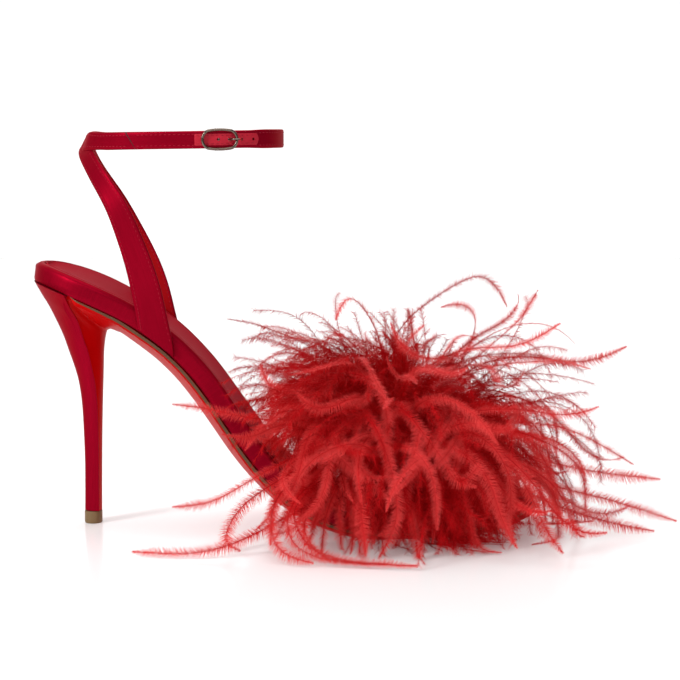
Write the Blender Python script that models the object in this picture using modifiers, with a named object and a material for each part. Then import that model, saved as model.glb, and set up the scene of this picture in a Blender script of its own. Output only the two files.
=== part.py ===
"""Strappy heeled sandal, a right shoe, with satin straps that cross behind the ankle, a stiletto
heel and ostrich feathers over the toes. Metres, +Z up, the toe towards +X, the outer side of the
foot at -Y. The origin is the middle of the heel tip's bottom face, on the floor."""

import math
import random
from bisect import bisect_right

import bmesh
import bpy
from mathutils import Vector
from mathutils.geometry import tessellate_polygon

GAP = 0.0003                 # between pieces that touch

# Sole and footbed
SOLE_LENGTH = 0.2047         # along the floor, from the back of the seat to the toe
SEAT_HEIGHT = 0.1009         # underside of the footbed at the back of the seat
SEAT_OVERHANG = 0.0223       # the seat's back stands behind the middle of the heel tip
BALL_WIDTH = 0.0740
OUTSOLE_THICKNESS = 0.0037   # at the tread
WAIST_THICKNESS = 0.0069     # at the middle of the rounded waist
OUTSOLE_EDGE = 0.0018        # height of the outsole's upright edge
OUTSOLE_MARGIN = 0.0008      # the outsole stands out beyond the footbed
FOOTBED_THICKNESS = 0.0078
FOOTBED_ROUND = 0.0022       # rounding of its upper edge
RIM_WIDTH = 0.0030           # satin rim around the sock lining
RECESS_DEPTH = 0.0013
RECESS_SLOPE = 0.0002
FOOTBED_FOOT = 0.0006        # broken lower edge
CUP_DEPTH = 0.0012           # hollow of the footbed under the foot
SLIM_WIDTH = 0.0240          # where the sole is narrower than this, its edges are finer too
SOCK_THICKNESS = 0.0010
SOCK_NARROWEST = 0.0260      # the lining's round ends stop at this width of the footbed

# Heel
TIP_HEIGHT = 0.0050
TIP_LENGTH = 0.0072
TIP_WIDTH = 0.0084
FLAP_THICKNESS = 0.0014      # the outsole's tongue down the front of the heel
SATIN_LIP = 0.0006           # satin turned around the edge of that tongue
BREAST_RISE = 0.35           # share by which the heel's front is lifted under the waist
TURN_LENGTH = 0.018          # share of the sole's length between the waist and the turn
CORNER_STEP = 0.0001         # keeps the corners at the heel's top edge apart

# Ankle straps
ANKLE_LENGTH = 0.0785        # inside the loop, heel to instep
ANKLE_WIDTH = 0.0600
ANKLE_BACK = -0.0018         # where the loop's back lies along the shoe
LOOP_HEIGHT = 0.1568         # middle of the ankle loop above the floor
LOOP_SLOPE = 0.0012          # its front end stands higher than its back
INNER_SHIFT = 0.0010         # the inner riser stands this much further back
INNER_LEAN = 0.0050          # and leans back by this much more
RISER_SEAT = 0.78            # share of the riser's foot that bears on the footbed's wall
STRAP_WIDTH = 0.0074
STRAP_THICKNESS = 0.0016
BILLET_WIDTH = 0.0068
HOLE_PITCH = 0.00445
HOLE_DIAMETER = 0.0011
HOLE_COUNT = 6

# Buckle
BUCKLE_LENGTH = 0.0146
BUCKLE_HEIGHT = 0.0086
WIRE = 0.0011
PRONG_WIRE = 0.0008
PRONG_PLACE = 0.0040         # the prong's hole, ahead of the buckle's middle
PRONG_HOLE = 0.0020          # stretched by the prong
BAR_PLACE = -0.0011          # centre bar, behind the buckle's middle
FOLD_RADIUS = 0.0017         # the strap's end folded round the bar
EYE_RADIUS = WIRE / 2 + GAP + PRONG_WIRE / 2
EYE_SLOT = PRONG_WIRE + 4 * GAP
SLOT_RADIUS = FOLD_RADIUS + 0.00025
BAR_DEPTH = STRAP_THICKNESS / 2 + GAP + FOLD_RADIUS
RING_OUT = STRAP_THICKNESS / 2 + GAP + WIRE / 2

# Band over the toes and its feathers
BAND_THICKNESS = 0.0018
BAND_START = 0.635           # share of the sole's length, its edge nearest the heel
BAND_END = 0.830
BAND_RISE = 0.0330           # its top above the footbed at the edge nearest the heel
BAND_FALL = 0.40             # share of that rise which it loses towards the toe
BAND_FOOT = 0.0012           # its lower edge above the footbed's underside
BAND_SPRING = 0.0010         # where its arch starts, above the footbed's upper edge
FEATHER_LENGTH = 0.0900
LOCK_WIDTH = 0.0135
LOCK_SWELL = (0.22, 0.93)    # a lock swells and tapers like this stretch of half a wave
LOCK_ROOT = 0.55             # share of the core's size at which the locks start
LOCK_STEPS = 5
STEEPEST = 80                # degrees; no lock falls more steeply
CORE_SHARES = (0.47, 0.55, 0.40)   # half sizes of the core as shares of the feathers' length
CORE_AHEAD = 0.0060
FEATHERS_OVER_SOLE = 0.0030  # heel-side locks lie this far above the sock lining
ROOM_DEPTH = 0.0200          # the foot's room goes on below the sole
ROOM_LEAST = 0.30            # and keeps this share of the band's rise at the toes
FLOOR_CLEARANCE = 0.0006

RED_SATIN = (0.36, 0.004, 0.014)
RED_LACQUER = (0.60, 0.004, 0.004)
RED_LEATHER = (0.42, 0.008, 0.012)
RED_FEATHER = (0.62, 0.022, 0.022)
TAN_RUBBER = (0.26, 0.14, 0.07)
BRONZE = (0.30, 0.24, 0.20)

TREAD_LEVEL = OUTSOLE_THICKNESS + GAP

# share of the sole's length, share of the seat's height above the tread
SIDE_PROFILE = (
    (0.000, 1.000), (0.028, 0.988), (0.057, 0.968), (0.105, 0.927), (0.156, 0.876),
    (0.190, 0.835), (0.220, 0.792), (0.265, 0.718), (0.318, 0.602), (0.382, 0.415),
    (0.431, 0.270), (0.490, 0.140), (0.549, 0.062), (0.612, 0.017), (0.680, 0.000),
    (0.842, 0.000), (0.920, 0.012), (1.000, 0.046),
)

# share of the length, outer half and inner half as shares of the ball's width, footbed's thickness
PLAN = (
    (0.00, 0.345, 0.345, 0.95), (0.12, 0.343, 0.336, 1.00), (0.22, 0.287, 0.277, 1.00),
    (0.32, 0.264, 0.247, 1.00), (0.42, 0.325, 0.290, 0.97), (0.55, 0.445, 0.405, 0.85),
    (0.66, 0.500, 0.470, 0.72), (0.75, 0.480, 0.488, 0.66), (0.85, 0.410, 0.455, 0.64),
    (0.93, 0.330, 0.405, 0.60), (1.00, 0.250, 0.350, 0.55),
)
SEAT_ROUND = 0.122           # share of the length over which the back of the seat is round
TOE_ROUND = 0.160

# share of the length, thickness at the middle as a share between tread and waist, rounded share
UNDERSIDE = (
    (0.00, 1.00, 1.00), (0.40, 1.00, 1.00), (0.52, 0.50, 0.60), (0.62, 0.06, 0.20),
    (0.68, 0.00, 0.15), (1.00, 0.00, 0.15),
)

STATIONS = (
    0.0015, 0.010, 0.028, 0.055, 0.086, 0.120, 0.156, 0.190, 0.220, 0.250, 0.280, 0.310, 0.345,
    0.382, 0.415, 0.450, 0.490, 0.530, 0.570, 0.612, 0.645, 0.680, 0.735, 0.790, 0.842, 0.880,
    0.915, 0.945, 0.970, 0.988, 0.998,
)
ACROSS = (-1.0, -0.95, -0.85, -0.60, -0.30, 0.0, 0.30, 0.60, 0.85, 0.95, 1.0)

# Sections of the heel, top to bottom: height at the back and at the corner as shares of the seat's
# height, then back, corner and outer front as shares of the seat's overhang, and half the width
# and the front's height as shares of the seat's half width and of the seat's height
HEEL_ROWS = (
    (0.9970, 0.9510, -0.985, -0.315, 0.310, 0.985, 0.790),
    (0.9470, 0.8940, -0.872, -0.229, 0.280, 0.790, 0.772),
    (0.8850, 0.8380, -0.720, -0.126, 0.262, 0.630, 0.750),
    (0.7850, 0.7600, -0.515, -0.045, 0.247, 0.478, 0.722),
    (0.7140, 0.7120, -0.406, 0.013, 0.238, 0.410, 0.696),
    (0.6360, 0.6360, -0.291, 0.072, 0.229, 0.326, 0.636),
    (0.5740, 0.5740, -0.224, 0.110, 0.218, 0.270, 0.574),
    (0.4880, 0.4880, -0.177, 0.132, 0.202, 0.220, 0.488),
    (0.3720, 0.3720, -0.154, 0.137, 0.186, 0.182, 0.372),
    (0.2560, 0.2560, -0.143, 0.134, 0.174, 0.166, 0.256),
    (0.1400, 0.1400, -0.148, 0.130, 0.164, 0.162, 0.140),
)
HEEL_FOOT_ROW = (-0.155, 0.126, 0.158, 0.160)

# Where the waist turns down into the heel's front: edge and middle along the length, and the
# underside's middle, as shares of the seat's overhang and of the seat's height
TURN_ROWS = (
    (0.720, 0.830, 0.640, 0.774),
    (0.430, 0.700, 0.540, 0.785),
    (0.160, 0.560, 0.450, 0.793),
    (-0.080, 0.410, 0.380, 0.796),
)

# One riser from the footbed to the back of the ankle: height as a share of the rise, place along
# the loop's length, how far it follows the footbed's wall, its distance from the middle as a share
# of the ankle's half width, its width as a share of the strap's, and its tilt and turn in degrees
RISER = (
    (0.010, 0.398, 1.0, 0.850, 2.30, -39, 0),
    (0.100, 0.380, 0.9, 0.850, 1.70, -8, 0),
    (0.185, 0.365, 0.7, 0.840, 1.64, 2, 0),
    (0.290, 0.345, 0.4, 0.855, 1.58, 12, 0),
    (0.424, 0.311, 0.1, 0.890, 1.44, 15, -4),
    (0.556, 0.262, 0.0, 0.900, 1.33, 20, -8),
    (0.690, 0.207, 0.0, 0.867, 1.22, 27, -16),
    (0.798, 0.128, 0.0, 0.717, 1.14, 36, -30),
    (0.894, 0.056, 0.0, 0.460, 1.08, 52, -40),
)

# Behind the ankle: height, place along, place across towards the far side, width and tilt
CROSSING = (
    (0.978, 0.006, 0.000, 1.08, 60),
    (0.998, 0.026, 0.330, 1.02, 76),
)

# The ankle loop seen from above: along its length and across its half width
BUCKLE_PLACE = 0.710
LOOP_PLAN = (
    (0.085, 0.550), (0.165, 0.740), (0.260, 0.870), (0.400, 0.970), (0.580, 0.998),
    (BUCKLE_PLACE, 0.948), (0.830, 0.830), (0.915, 0.650), (0.965, 0.445), (0.992, 0.220),
    (1.000, 0.000),
)
BILLET_END = 0.255
UNDERLAP = 0.0021            # the strap with the buckle lies this far inside the other
CROSS_INSET = 0.0012         # at the back, where the two straps are joined

# Rings of feather locks: first and last direction round the band, number, lift above level,
# length as a share of the feathers', how far it bends down, and width as a share of a lock's
LOCK_RINGS = (
    (-180, 136, 8, 78, 0.70, 130, 1.00),
    (-162, 162, 12, 55, 0.90, 108, 1.10),
    (-140, 140, 12, 32, 0.98, 106, 1.10),
    (-132, 132, 13, 10, 0.98, 92, 1.10),
    (-118, 118, 12, -10, 0.80, 72, 1.10),
)

# The longest plumes: direction, lift, length, bend and width
PLUMES = (
    (3, 36, 1.10, 82, 0.75), (-16, 54, 1.08, 100, 0.75), (22, 20, 1.10, 62, 0.75),
    (176, 62, 1.00, 96, 0.75), (64, 84, 0.88, 92, 0.75), (-62, 86, 0.92, 112, 0.75),
    (-130, 26, 1.16, 84, 0.70), (136, 28, 1.12, 88, 0.75),
)
SIDEWAYS = 0.64              # feathers reach less far to the sides than towards the toe
BACKWARDS = 0.80             # and less far towards the heel


def through(table, column):
    """A smooth curve through one column of a table, which never overshoots its rows."""
    x = [row[0] for row in table]
    y = [row[column] for row in table]
    step = [b - a for a, b in zip(x, x[1:])]
    slope = [(b - a) / h for a, b, h in zip(y, y[1:], step)]
    tangent = [slope[0]]
    for left, right in zip(slope, slope[1:]):
        same = left * right > 0
        tangent.append(2 * left * right / (left + right) if same else 0.0)
    tangent.append(slope[-1])

    def value(at):
        i = min(max(bisect_right(x, at) - 1, 0), len(step) - 1)
        t = min(max((at - x[i]) / step[i], 0.0), 1.0)
        low = (1 + 2 * t) * (1 - t) ** 2 * y[i] + t * t * (3 - 2 * t) * y[i + 1]
        return low + step[i] * t * (1 - t) * ((1 - t) * tangent[i] - t * tangent[i + 1])

    return value


profile_share = through(SIDE_PROFILE, 1)
outer_share = through(PLAN, 1)
inner_share = through(PLAN, 2)
footbed_share = through(PLAN, 3)
waist_share = through(UNDERSIDE, 1)
rounded_share = through(UNDERSIDE, 2)


def share_at(x):
    return (x + SEAT_OVERHANG) / SOLE_LENGTH


def place_at(share):
    return share * SOLE_LENGTH - SEAT_OVERHANG


def sole_level(x):
    """Height of the footbed's underside."""
    return TREAD_LEVEL + (SEAT_HEIGHT - TREAD_LEVEL) * profile_share(share_at(x))


def sole_normal(x):
    reach = 0.0005
    slope = (sole_level(x + reach) - sole_level(x - reach)) / (2 * reach)
    return Vector((-slope, 0, 1)).normalized()


def end_rounding(share):
    """How much of the width is left near the round ends of the sole."""
    back = min(share / SEAT_ROUND, 1.0)
    toe = min((1 - share) / TOE_ROUND, 1.0)
    return math.sqrt(1 - (1 - back) ** 2) * (1 - (1 - toe) ** 2.3) ** 0.62


def half_widths(x):
    """Distance of the footbed's outer and inner walls from the middle line, as a pair."""
    share = share_at(x)
    outer = outer_share(share) * BALL_WIDTH
    inner = inner_share(share) * BALL_WIDTH
    middle = (inner - outer) / 2
    half = (inner + outer) / 2 * end_rounding(share)
    return half - middle, half + middle


def wall(x, side):
    outer, inner = half_widths(x)
    return -outer if side < 0 else inner


def on_sole(x, y, rise):
    point = Vector((x, y, sole_level(x)))
    return point + sole_normal(x) * rise


def paint(name, colour, roughness, metallic=0.0):
    material = bpy.data.materials.new(name)
    material.use_nodes = True
    shader = material.node_tree.nodes["Principled BSDF"]
    shader.inputs["Base Color"].default_value = (*colour, 1)
    shader.inputs["Roughness"].default_value = roughness
    shader.inputs["Metallic"].default_value = metallic
    return material


def add_object(name, mesh, material, smooth=35):
    solid = bpy.data.objects.new(name, mesh)
    mesh.materials.append(material)
    mesh.shade_smooth()
    mesh.set_sharp_from_angle(angle=math.radians(smooth))
    sandal.objects.link(solid)
    return solid


def add_cutter(name, mesh):
    cutter = bpy.data.objects.new(name, mesh)
    cutter.hide_render = True
    cutter.display_type = "WIRE"
    cutters.objects.link(cutter)
    return cutter


def combine(solid, other, operation, own_parts=False):
    step = solid.modifiers.new(operation.title(), "BOOLEAN")
    step.operation = operation
    step.solver = "EXACT"
    step.use_self = own_parts
    step.object = other


def mesh_from(bm, name):
    bmesh.ops.recalc_face_normals(bm, faces=bm.faces)
    mesh = bpy.data.meshes.new(name)
    bm.to_mesh(mesh)
    bm.free()
    return mesh


def add_loft(bm, rows, closed_ends=True, split=False):
    """Skin closed loops of points, one after another; split cuts each quad along a diagonal that
    mirrors across the middle line, so that pieces which face each other are cut alike."""
    rings = [[bm.verts.new(point) for point in row] for row in rows]
    count = len(rings[0])
    for ring, following in zip(rings, rings[1:]):
        for i in range(count):
            j = (i + 1) % count
            if split and ring[i].co.y + ring[j].co.y > 0:
                bm.faces.new((ring[i], ring[j], following[j]))
                bm.faces.new((ring[i], following[j], following[i]))
            elif split:
                bm.faces.new((ring[i], ring[j], following[i]))
                bm.faces.new((ring[j], following[j], following[i]))
            else:
                bm.faces.new((ring[i], ring[j], following[j], following[i]))
    if closed_ends:
        close_flat(bm, rings[0])
        close_flat(bm, rings[-1])
    return rings


def close_flat(bm, ring):
    """Close a flat loop, also where it turns inwards, with triangles."""
    for corners in tessellate_polygon([[vert.co for vert in ring]]):
        bm.faces.new([ring[corner] for corner in corners])


def catmull(rows, steps):
    """Points between the rows of a table, on a curve through every row."""
    padded = [rows[0], *rows, rows[-1]]
    points = []
    for a, b, c, d in zip(padded, padded[1:], padded[2:], padded[3:]):
        for step in range(steps):
            t = step / steps
            points.append(tuple(
                0.5 * (2 * q + (r - p) * t + (2 * p - 5 * q + 4 * r - s) * t * t
                       + (3 * q - p - 3 * r + s) * t ** 3)
                for p, q, r, s in zip(a, b, c, d)))
    points.append(tuple(rows[-1]))
    return points


def footbed_section(x):
    """Loop of the footbed across the foot: underside, walls, rounded rim and recess."""
    outer, inner = half_widths(x)
    narrow = min(1.0, (outer + inner) / SLIM_WIDTH)
    thickness = FOOTBED_THICKNESS * footbed_share(share_at(x))
    foot = FOOTBED_FOOT * narrow
    bend = FOOTBED_ROUND * narrow
    rim = RIM_WIDTH * narrow
    depth = RECESS_DEPTH * narrow
    cup = CUP_DEPTH * narrow
    half = [
        (foot, 0.0), (0.0, foot), (0.0, thickness - bend),
        (0.3 * bend, thickness - 0.3 * bend), (bend, thickness),
        (rim, thickness), (rim + RECESS_SLOPE, thickness - depth),
    ]
    width = outer + inner
    loop = [on_sole(x, inner - away, rise) for away, rise in half]
    for share in (0.75, 0.5, 0.25):
        hollow = cup * (1 - (2 * share - 1) ** 2)
        loop.append(on_sole(x, -outer + width * share, thickness - depth - hollow))
    loop.extend(on_sole(x, away - outer, rise) for away, rise in reversed(half))
    return loop


def make_footbed():
    bm = bmesh.new()
    add_loft(bm, [footbed_section(place_at(share)) for share in STATIONS])
    return add_object("footbed", mesh_from(bm, "footbed"), satin)


def sock_section(x):
    outer, inner = half_widths(x)
    thickness = FOOTBED_THICKNESS * footbed_share(share_at(x))
    inset = RIM_WIDTH + RECESS_SLOPE + GAP
    low = thickness - RECESS_DEPTH + GAP
    width = outer + inner - 2 * inset
    under, over = [], []
    for share in (0.0, 0.25, 0.5, 0.75, 1.0):
        hollow = CUP_DEPTH * (1 - (2 * share - 1) ** 2)
        y = -outer + inset + width * share
        under.append(on_sole(x, y, low - hollow))
        over.append(on_sole(x, y, low - hollow + SOCK_THICKNESS))
    return under + over[::-1]


def make_sock_lining():
    bm = bmesh.new()
    wide = [share for share in STATIONS if sum(half_widths(place_at(share))) > SOCK_NARROWEST]
    add_loft(bm, [sock_section(place_at(share)) for share in wide])
    return add_object("sock_lining", mesh_from(bm, "sock_lining"), leather)


def seat_half():
    return half_widths(place_at(SEAT_ROUND))[1]


def heel_row(row):
    """Named places of one heel section: back, corner, front, half width and heights."""
    back_level, corner_level, back, corner, front, half, front_level = row
    return {
        "back": back * SEAT_OVERHANG, "corner": corner * SEAT_OVERHANG,
        "front": front * SEAT_OVERHANG, "half": half * seat_half(),
        "back_z": back_level * SEAT_HEIGHT, "corner_z": corner_level * SEAT_HEIGHT,
        "front_z": front_level * SEAT_HEIGHT,
    }


def heel_rows():
    foot_level = (TIP_HEIGHT + GAP) / SEAT_HEIGHT
    back, corner, front, half = HEEL_FOOT_ROW
    foot = (foot_level, foot_level, back, corner, front, half, foot_level)
    return [heel_row(row) for row in (*HEEL_ROWS, foot)]


def tongue_half(row, top):
    """Half the tongue's width, inside the satin lips, with more room at the flared top."""
    return row["half"] - SATIN_LIP - (5 if top else 1) * GAP


def breast_point(row, v, top):
    """A point of the heel's front, under the outsole's tongue."""
    bulge = 1 - v * v
    y = v * tongue_half(row, top)
    edge = row["corner"] + (4 * GAP if top else -FLAP_THICKNESS)
    x = edge + (row["front"] - FLAP_THICKNESS - edge) * bulge
    if top:
        return Vector((x, y, sole_level(x) - GAP))
    lift = BREAST_RISE * max(row["corner_z"] - row["front_z"], 0)
    z = row["corner_z"] + (row["front_z"] + lift - row["corner_z"]) * bulge
    return Vector((x, y, z))


def flap_point(row, v, top):
    """A point of the tongue's outer face."""
    bulge = math.cos(v * math.pi / 2)
    y = v * tongue_half(row, top)
    x = row["corner"] + (row["front"] - row["corner"]) * bulge
    z = row["corner_z"] + (row["front_z"] - row["corner_z"]) * bulge
    return Vector((x, y, z))


def make_heel():
    bm = bmesh.new()
    loops = []
    for index, row in enumerate(heel_rows()):
        top = index == 0
        front = []
        for v in ACROSS:
            point = breast_point(row, v, top) - Vector((2 * GAP if top else GAP, 0, 0))
            if abs(v) == 1:
                point.y = v * (row["half"] - SATIN_LIP)
                flare = min(1.0, 1.5 * row["half"] / seat_half())
                point.x = row["corner"] - CORNER_STEP if top else point.x - 3 * GAP * flare
            front.append(point)
        back = []
        for step in range(13):
            angle = math.pi * step / 12
            y = row["half"] * math.cos(angle)
            x = row["corner"] + (row["back"] - row["corner"]) * math.sin(angle)
            x -= 3 * CORNER_STEP if top else 0
            z = row["corner_z"] + (row["back_z"] - row["corner_z"]) * math.sin(angle)
            back.append(Vector((x, y, z)))
        lip = row["corner"] - (2 * CORNER_STEP if top else 0)
        lips = [Vector((lip, side * (row["half"] - SATIN_LIP), row["corner_z"]))
                for side in (1, -1)]
        loop = front[len(front) // 2:] + [lips[0]] + back + [lips[1]] + front[:len(front) // 2]
        if top:
            for point in loop:
                point.z = sole_level(point.x) - GAP
        loops.append(loop)
    rings = add_loft(bm, loops, closed_ends=False, split=True)
    close_flat(bm, rings[-1])
    close_mirrored(bm, rings[0])
    return add_object("heel", mesh_from(bm, "heel"), satin)


def close_mirrored(bm, ring):
    """Close a loop that starts in the middle of the front with strips across the middle line."""
    count = len(ring)
    half = count // 2
    bm.faces.new((ring[0], ring[1], ring[count - 1]))
    for i in range(1, half - 1):
        bm.faces.new((ring[i], ring[i + 1], ring[count - 1 - i], ring[count - i]))
    bm.faces.new((ring[half - 1], ring[half], ring[half + 1]))


def make_heel_tip():
    bm = bmesh.new()
    half = TIP_LENGTH / 2
    outline = []
    for step in range(20):
        angle = 2 * math.pi * step / 20
        flat = 0.78 if math.cos(angle) > 0 else 1.0
        outline.append((half * math.copysign(abs(math.cos(angle)) ** flat, math.cos(angle)),
                        TIP_WIDTH / 2 * math.sin(angle)))
    add_loft(bm, [[Vector((x, y, z)) for x, y in outline] for z in (0.0, TIP_HEIGHT)])
    return add_object("heel_tip", mesh_from(bm, "heel_tip"), rubber)


def waist_row(share):
    """One section of the outsole ahead of the heel: its upper line and its rounded underside."""
    x = place_at(share)
    outer, inner = half_widths(x)
    middle = (inner - outer) / 2
    half = (inner + outer) / 2 + OUTSOLE_MARGIN
    full = OUTSOLE_THICKNESS + (WAIST_THICKNESS - OUTSOLE_THICKNESS) * waist_share(share)
    rounded = rounded_share(share)
    upper, under = [], []
    for v in ACROSS:
        bulge = math.sin(math.pi / 2 * min(1.0, (1 - abs(v)) / rounded))
        depth = OUTSOLE_EDGE + (full - OUTSOLE_EDGE) * bulge
        upper.append(on_sole(x, middle + v * half, -GAP))
        under.append(on_sole(x, middle + v * half, -GAP - depth))
    return upper + under[::-1]


def turn_row(row):
    """One section where the waist turns down into the heel's front."""
    edge, middle, under_x, under_z = row
    edge_x = edge * SEAT_OVERHANG
    centre_x = middle * SEAT_OVERHANG
    half = half_widths(edge_x)[1] + OUTSOLE_MARGIN
    low_edge = on_sole(edge_x, 0, -GAP - OUTSOLE_EDGE)
    low_centre = Vector((under_x * SEAT_OVERHANG, 0, under_z * SEAT_HEIGHT))
    upper, under = [], []
    for v in ACROSS:
        x = edge_x + (centre_x - edge_x) * (1 - v * v)
        upper.append(Vector((x, v * half, sole_level(x) - GAP)))
        point = low_edge.lerp(low_centre, math.cos(v * math.pi / 2))
        point.y = v * half
        under.append(point)
    return upper + under[::-1]


def make_outsole():
    bm = bmesh.new()
    start = share_at(TURN_ROWS[0][1] * SEAT_OVERHANG) + TURN_LENGTH
    rows = [waist_row(share) for share in reversed(STATIONS) if share > start]
    rows.extend(turn_row(row) for row in TURN_ROWS)
    for index, row in enumerate(heel_rows()):
        upper = [breast_point(row, v, index == 0) for v in ACROSS]
        under = [flap_point(row, v, index == 0) for v in ACROSS]
        if index == 0:
            ahead = Vector((OUTSOLE_EDGE + 3 * GAP, 0, -OUTSOLE_EDGE / 2))
            under = [point + ahead * abs(v) ** 8 for point, v in zip(under, ACROSS)]
        rows.append(upper + under[::-1])
    add_loft(bm, rows, split=True)
    return add_object("outsole", mesh_from(bm, "outsole"), lacquer)


def loop_place(along, across, side):
    """Middle of the ankle strap at a place seen from above."""
    length = ANKLE_LENGTH + STRAP_THICKNESS
    half = (ANKLE_WIDTH + STRAP_THICKNESS) / 2
    level = LOOP_HEIGHT + LOOP_SLOPE * (along - 0.5)
    return Vector((ANKLE_BACK + length * along, side * half * across, level))


def strap_frame(along):
    """Origin, direction to the toe, way out and way up of the outer strap at the outer side."""
    across = through(LOOP_PLAN, 1)
    reach = 0.004
    origin = loop_place(along, across(along), -1)
    ahead = loop_place(along + reach, across(along + reach), -1)
    behind = loop_place(along - reach, across(along - reach), -1)
    tangent = (ahead - behind).normalized()
    out = Vector((tangent.y, -tangent.x, 0)).normalized()
    return origin, tangent, out, out.cross(tangent).normalized() * -1


def rise_level(rise):
    base = sole_level(ANKLE_BACK + ANKLE_LENGTH * RISER[0][1])
    return base + (LOOP_HEIGHT - base) * rise


def riser_rows(side):
    """Rows of one riser, from the footbed's wall to behind the ankle."""
    shift = INNER_SHIFT if side > 0 else 0.0
    base = ANKLE_BACK + ANKLE_LENGTH * RISER[0][1] - shift
    reach = STRAP_WIDTH * RISER[0][4] / 2 * RISER_SEAT
    rear, front = abs(wall(base - reach, side)), abs(wall(base + reach, side))
    seat = (rear + front) / 2 + 2 * GAP + STRAP_THICKNESS / 2
    seat_turn = math.degrees(math.atan((rear - front) / (2 * reach)))
    rows = []
    for rise, along, on_wall, half_share, width, tilt, turn in RISER:
        half = seat * on_wall + (1 - on_wall) * half_share * ANKLE_WIDTH / 2
        back = shift * (1 - rise)
        if side > 0:
            back += INNER_LEAN * math.sin(math.pi * rise ** 2)
        rows.append((
            ANKLE_BACK + ANKLE_LENGTH * along - back, side * half, rise_level(rise),
            width * STRAP_WIDTH, tilt, -side * (turn + seat_turn * on_wall), 0.0))
    return rows


def crossing_rows(side, inset):
    """Rows behind the ankle; side is the one that the strap goes on to."""
    return [(ANKLE_BACK + ANKLE_LENGTH * along, side * across * ANKLE_WIDTH / 2,
             rise_level(rise), width * STRAP_WIDTH, tilt, 0, inset)
            for rise, along, across, width, tilt in CROSSING]


def loop_rows(side, places, width, inset):
    return [(*loop_place(along, across, side), width, 90, 0, inset) for along, across in places]


def add_ribbon(bm, rows, steps):
    """A flat strap with softened edges, through rows of place, width, tilt, turn and inset."""
    axis = ANKLE_BACK + ANKLE_LENGTH * 0.45
    fine = catmull(rows, steps)
    points = [Vector(row[:3]) for row in fine]
    thick, soft = STRAP_THICKNESS / 2, STRAP_THICKNESS / 4
    loops = []
    for index, (x, y, z, width, tilt, turn, inset) in enumerate(fine):
        ahead = points[min(index + 1, len(points) - 1)]
        behind = points[max(index - 1, 0)]
        tilt, turn = math.radians(tilt), math.radians(turn)
        across = Vector((math.cos(tilt) * math.cos(turn), math.cos(tilt) * math.sin(turn),
                         math.sin(tilt)))
        out = across.cross(ahead - behind).normalized()
        if out.dot(Vector((x - axis, y, 0))) < 0:
            out.negate()
        middle = points[index] - out * inset
        half = width / 2
        section = ((half, soft - thick), (half, thick - soft), (half - soft, thick),
                   (soft - half, thick), (-half, thick - soft), (-half, soft - thick),
                   (soft - half, -thick), (half - soft, -thick))
        loops.append([middle + across * a + out * b for a, b in section])
    add_loft(bm, loops)


def make_outer_strap():
    """The outer riser, which goes round the ankle and ends as the punched billet."""
    rows = riser_rows(-1) + crossing_rows(1, 0.0)
    rows += loop_rows(1, LOOP_PLAN, STRAP_WIDTH, 0.0)
    rows += loop_rows(-1, LOOP_PLAN[-2:-5:-1], STRAP_WIDTH, 0.0)
    billet = [place for place in reversed(LOOP_PLAN[:-4]) if place[0] > BILLET_END]
    billet.append((BILLET_END, through(LOOP_PLAN, 1)(BILLET_END)))
    rows += loop_rows(-1, billet, BILLET_WIDTH, 0.0)
    bm = bmesh.new()
    add_ribbon(bm, rows, 2)
    return mesh_from(bm, "outer_strap")


def make_inner_strap():
    """The inner riser, which passes under the other at the back and carries the buckle."""
    rows = riser_rows(1)
    rows = [(*row[:6], CROSS_INSET * share)
            for row, share in zip(rows, (0, 0, 0, 0, 0, 0, 0.1, 0.4, 0.8))]
    rows += crossing_rows(-1, CROSS_INSET)[:1] + crossing_rows(-1, CROSS_INSET * 1.3)[1:]
    near = [place for place in LOOP_PLAN if place[0] < BUCKLE_PLACE]
    rows += loop_rows(-1, near[:1], BILLET_WIDTH, UNDERLAP * 0.85)
    rows += loop_rows(-1, near[1:], BILLET_WIDTH, UNDERLAP)
    end = BUCKLE_PLACE + (BAR_PLACE - 0.001) / ANKLE_LENGTH
    rows += loop_rows(-1, [(end, through(LOOP_PLAN, 1)(end))], BILLET_WIDTH, UNDERLAP * 1.15)
    bm = bmesh.new()
    add_ribbon(bm, rows, 2)
    return mesh_from(bm, "inner_strap")


def in_frame(frame, along, out, up):
    origin, tangent, outward, upward = frame
    return origin + tangent * along + outward * out + upward * up


def add_cylinder(name, start, end, radius, sides=12):
    """A cylinder between two points, as a cutter or as a piece to be joined."""
    way = end - start
    bm = bmesh.new()
    bmesh.ops.create_cone(bm, cap_ends=True, segments=sides, radius1=radius, radius2=radius,
                          depth=way.length)
    mesh = mesh_from(bm, name)
    mesh.transform(way.to_track_quat("Z", "Y").to_matrix().to_4x4())
    cylinder = add_cutter(name, mesh)
    cylinder.location = (start + end) / 2
    return cylinder


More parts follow.
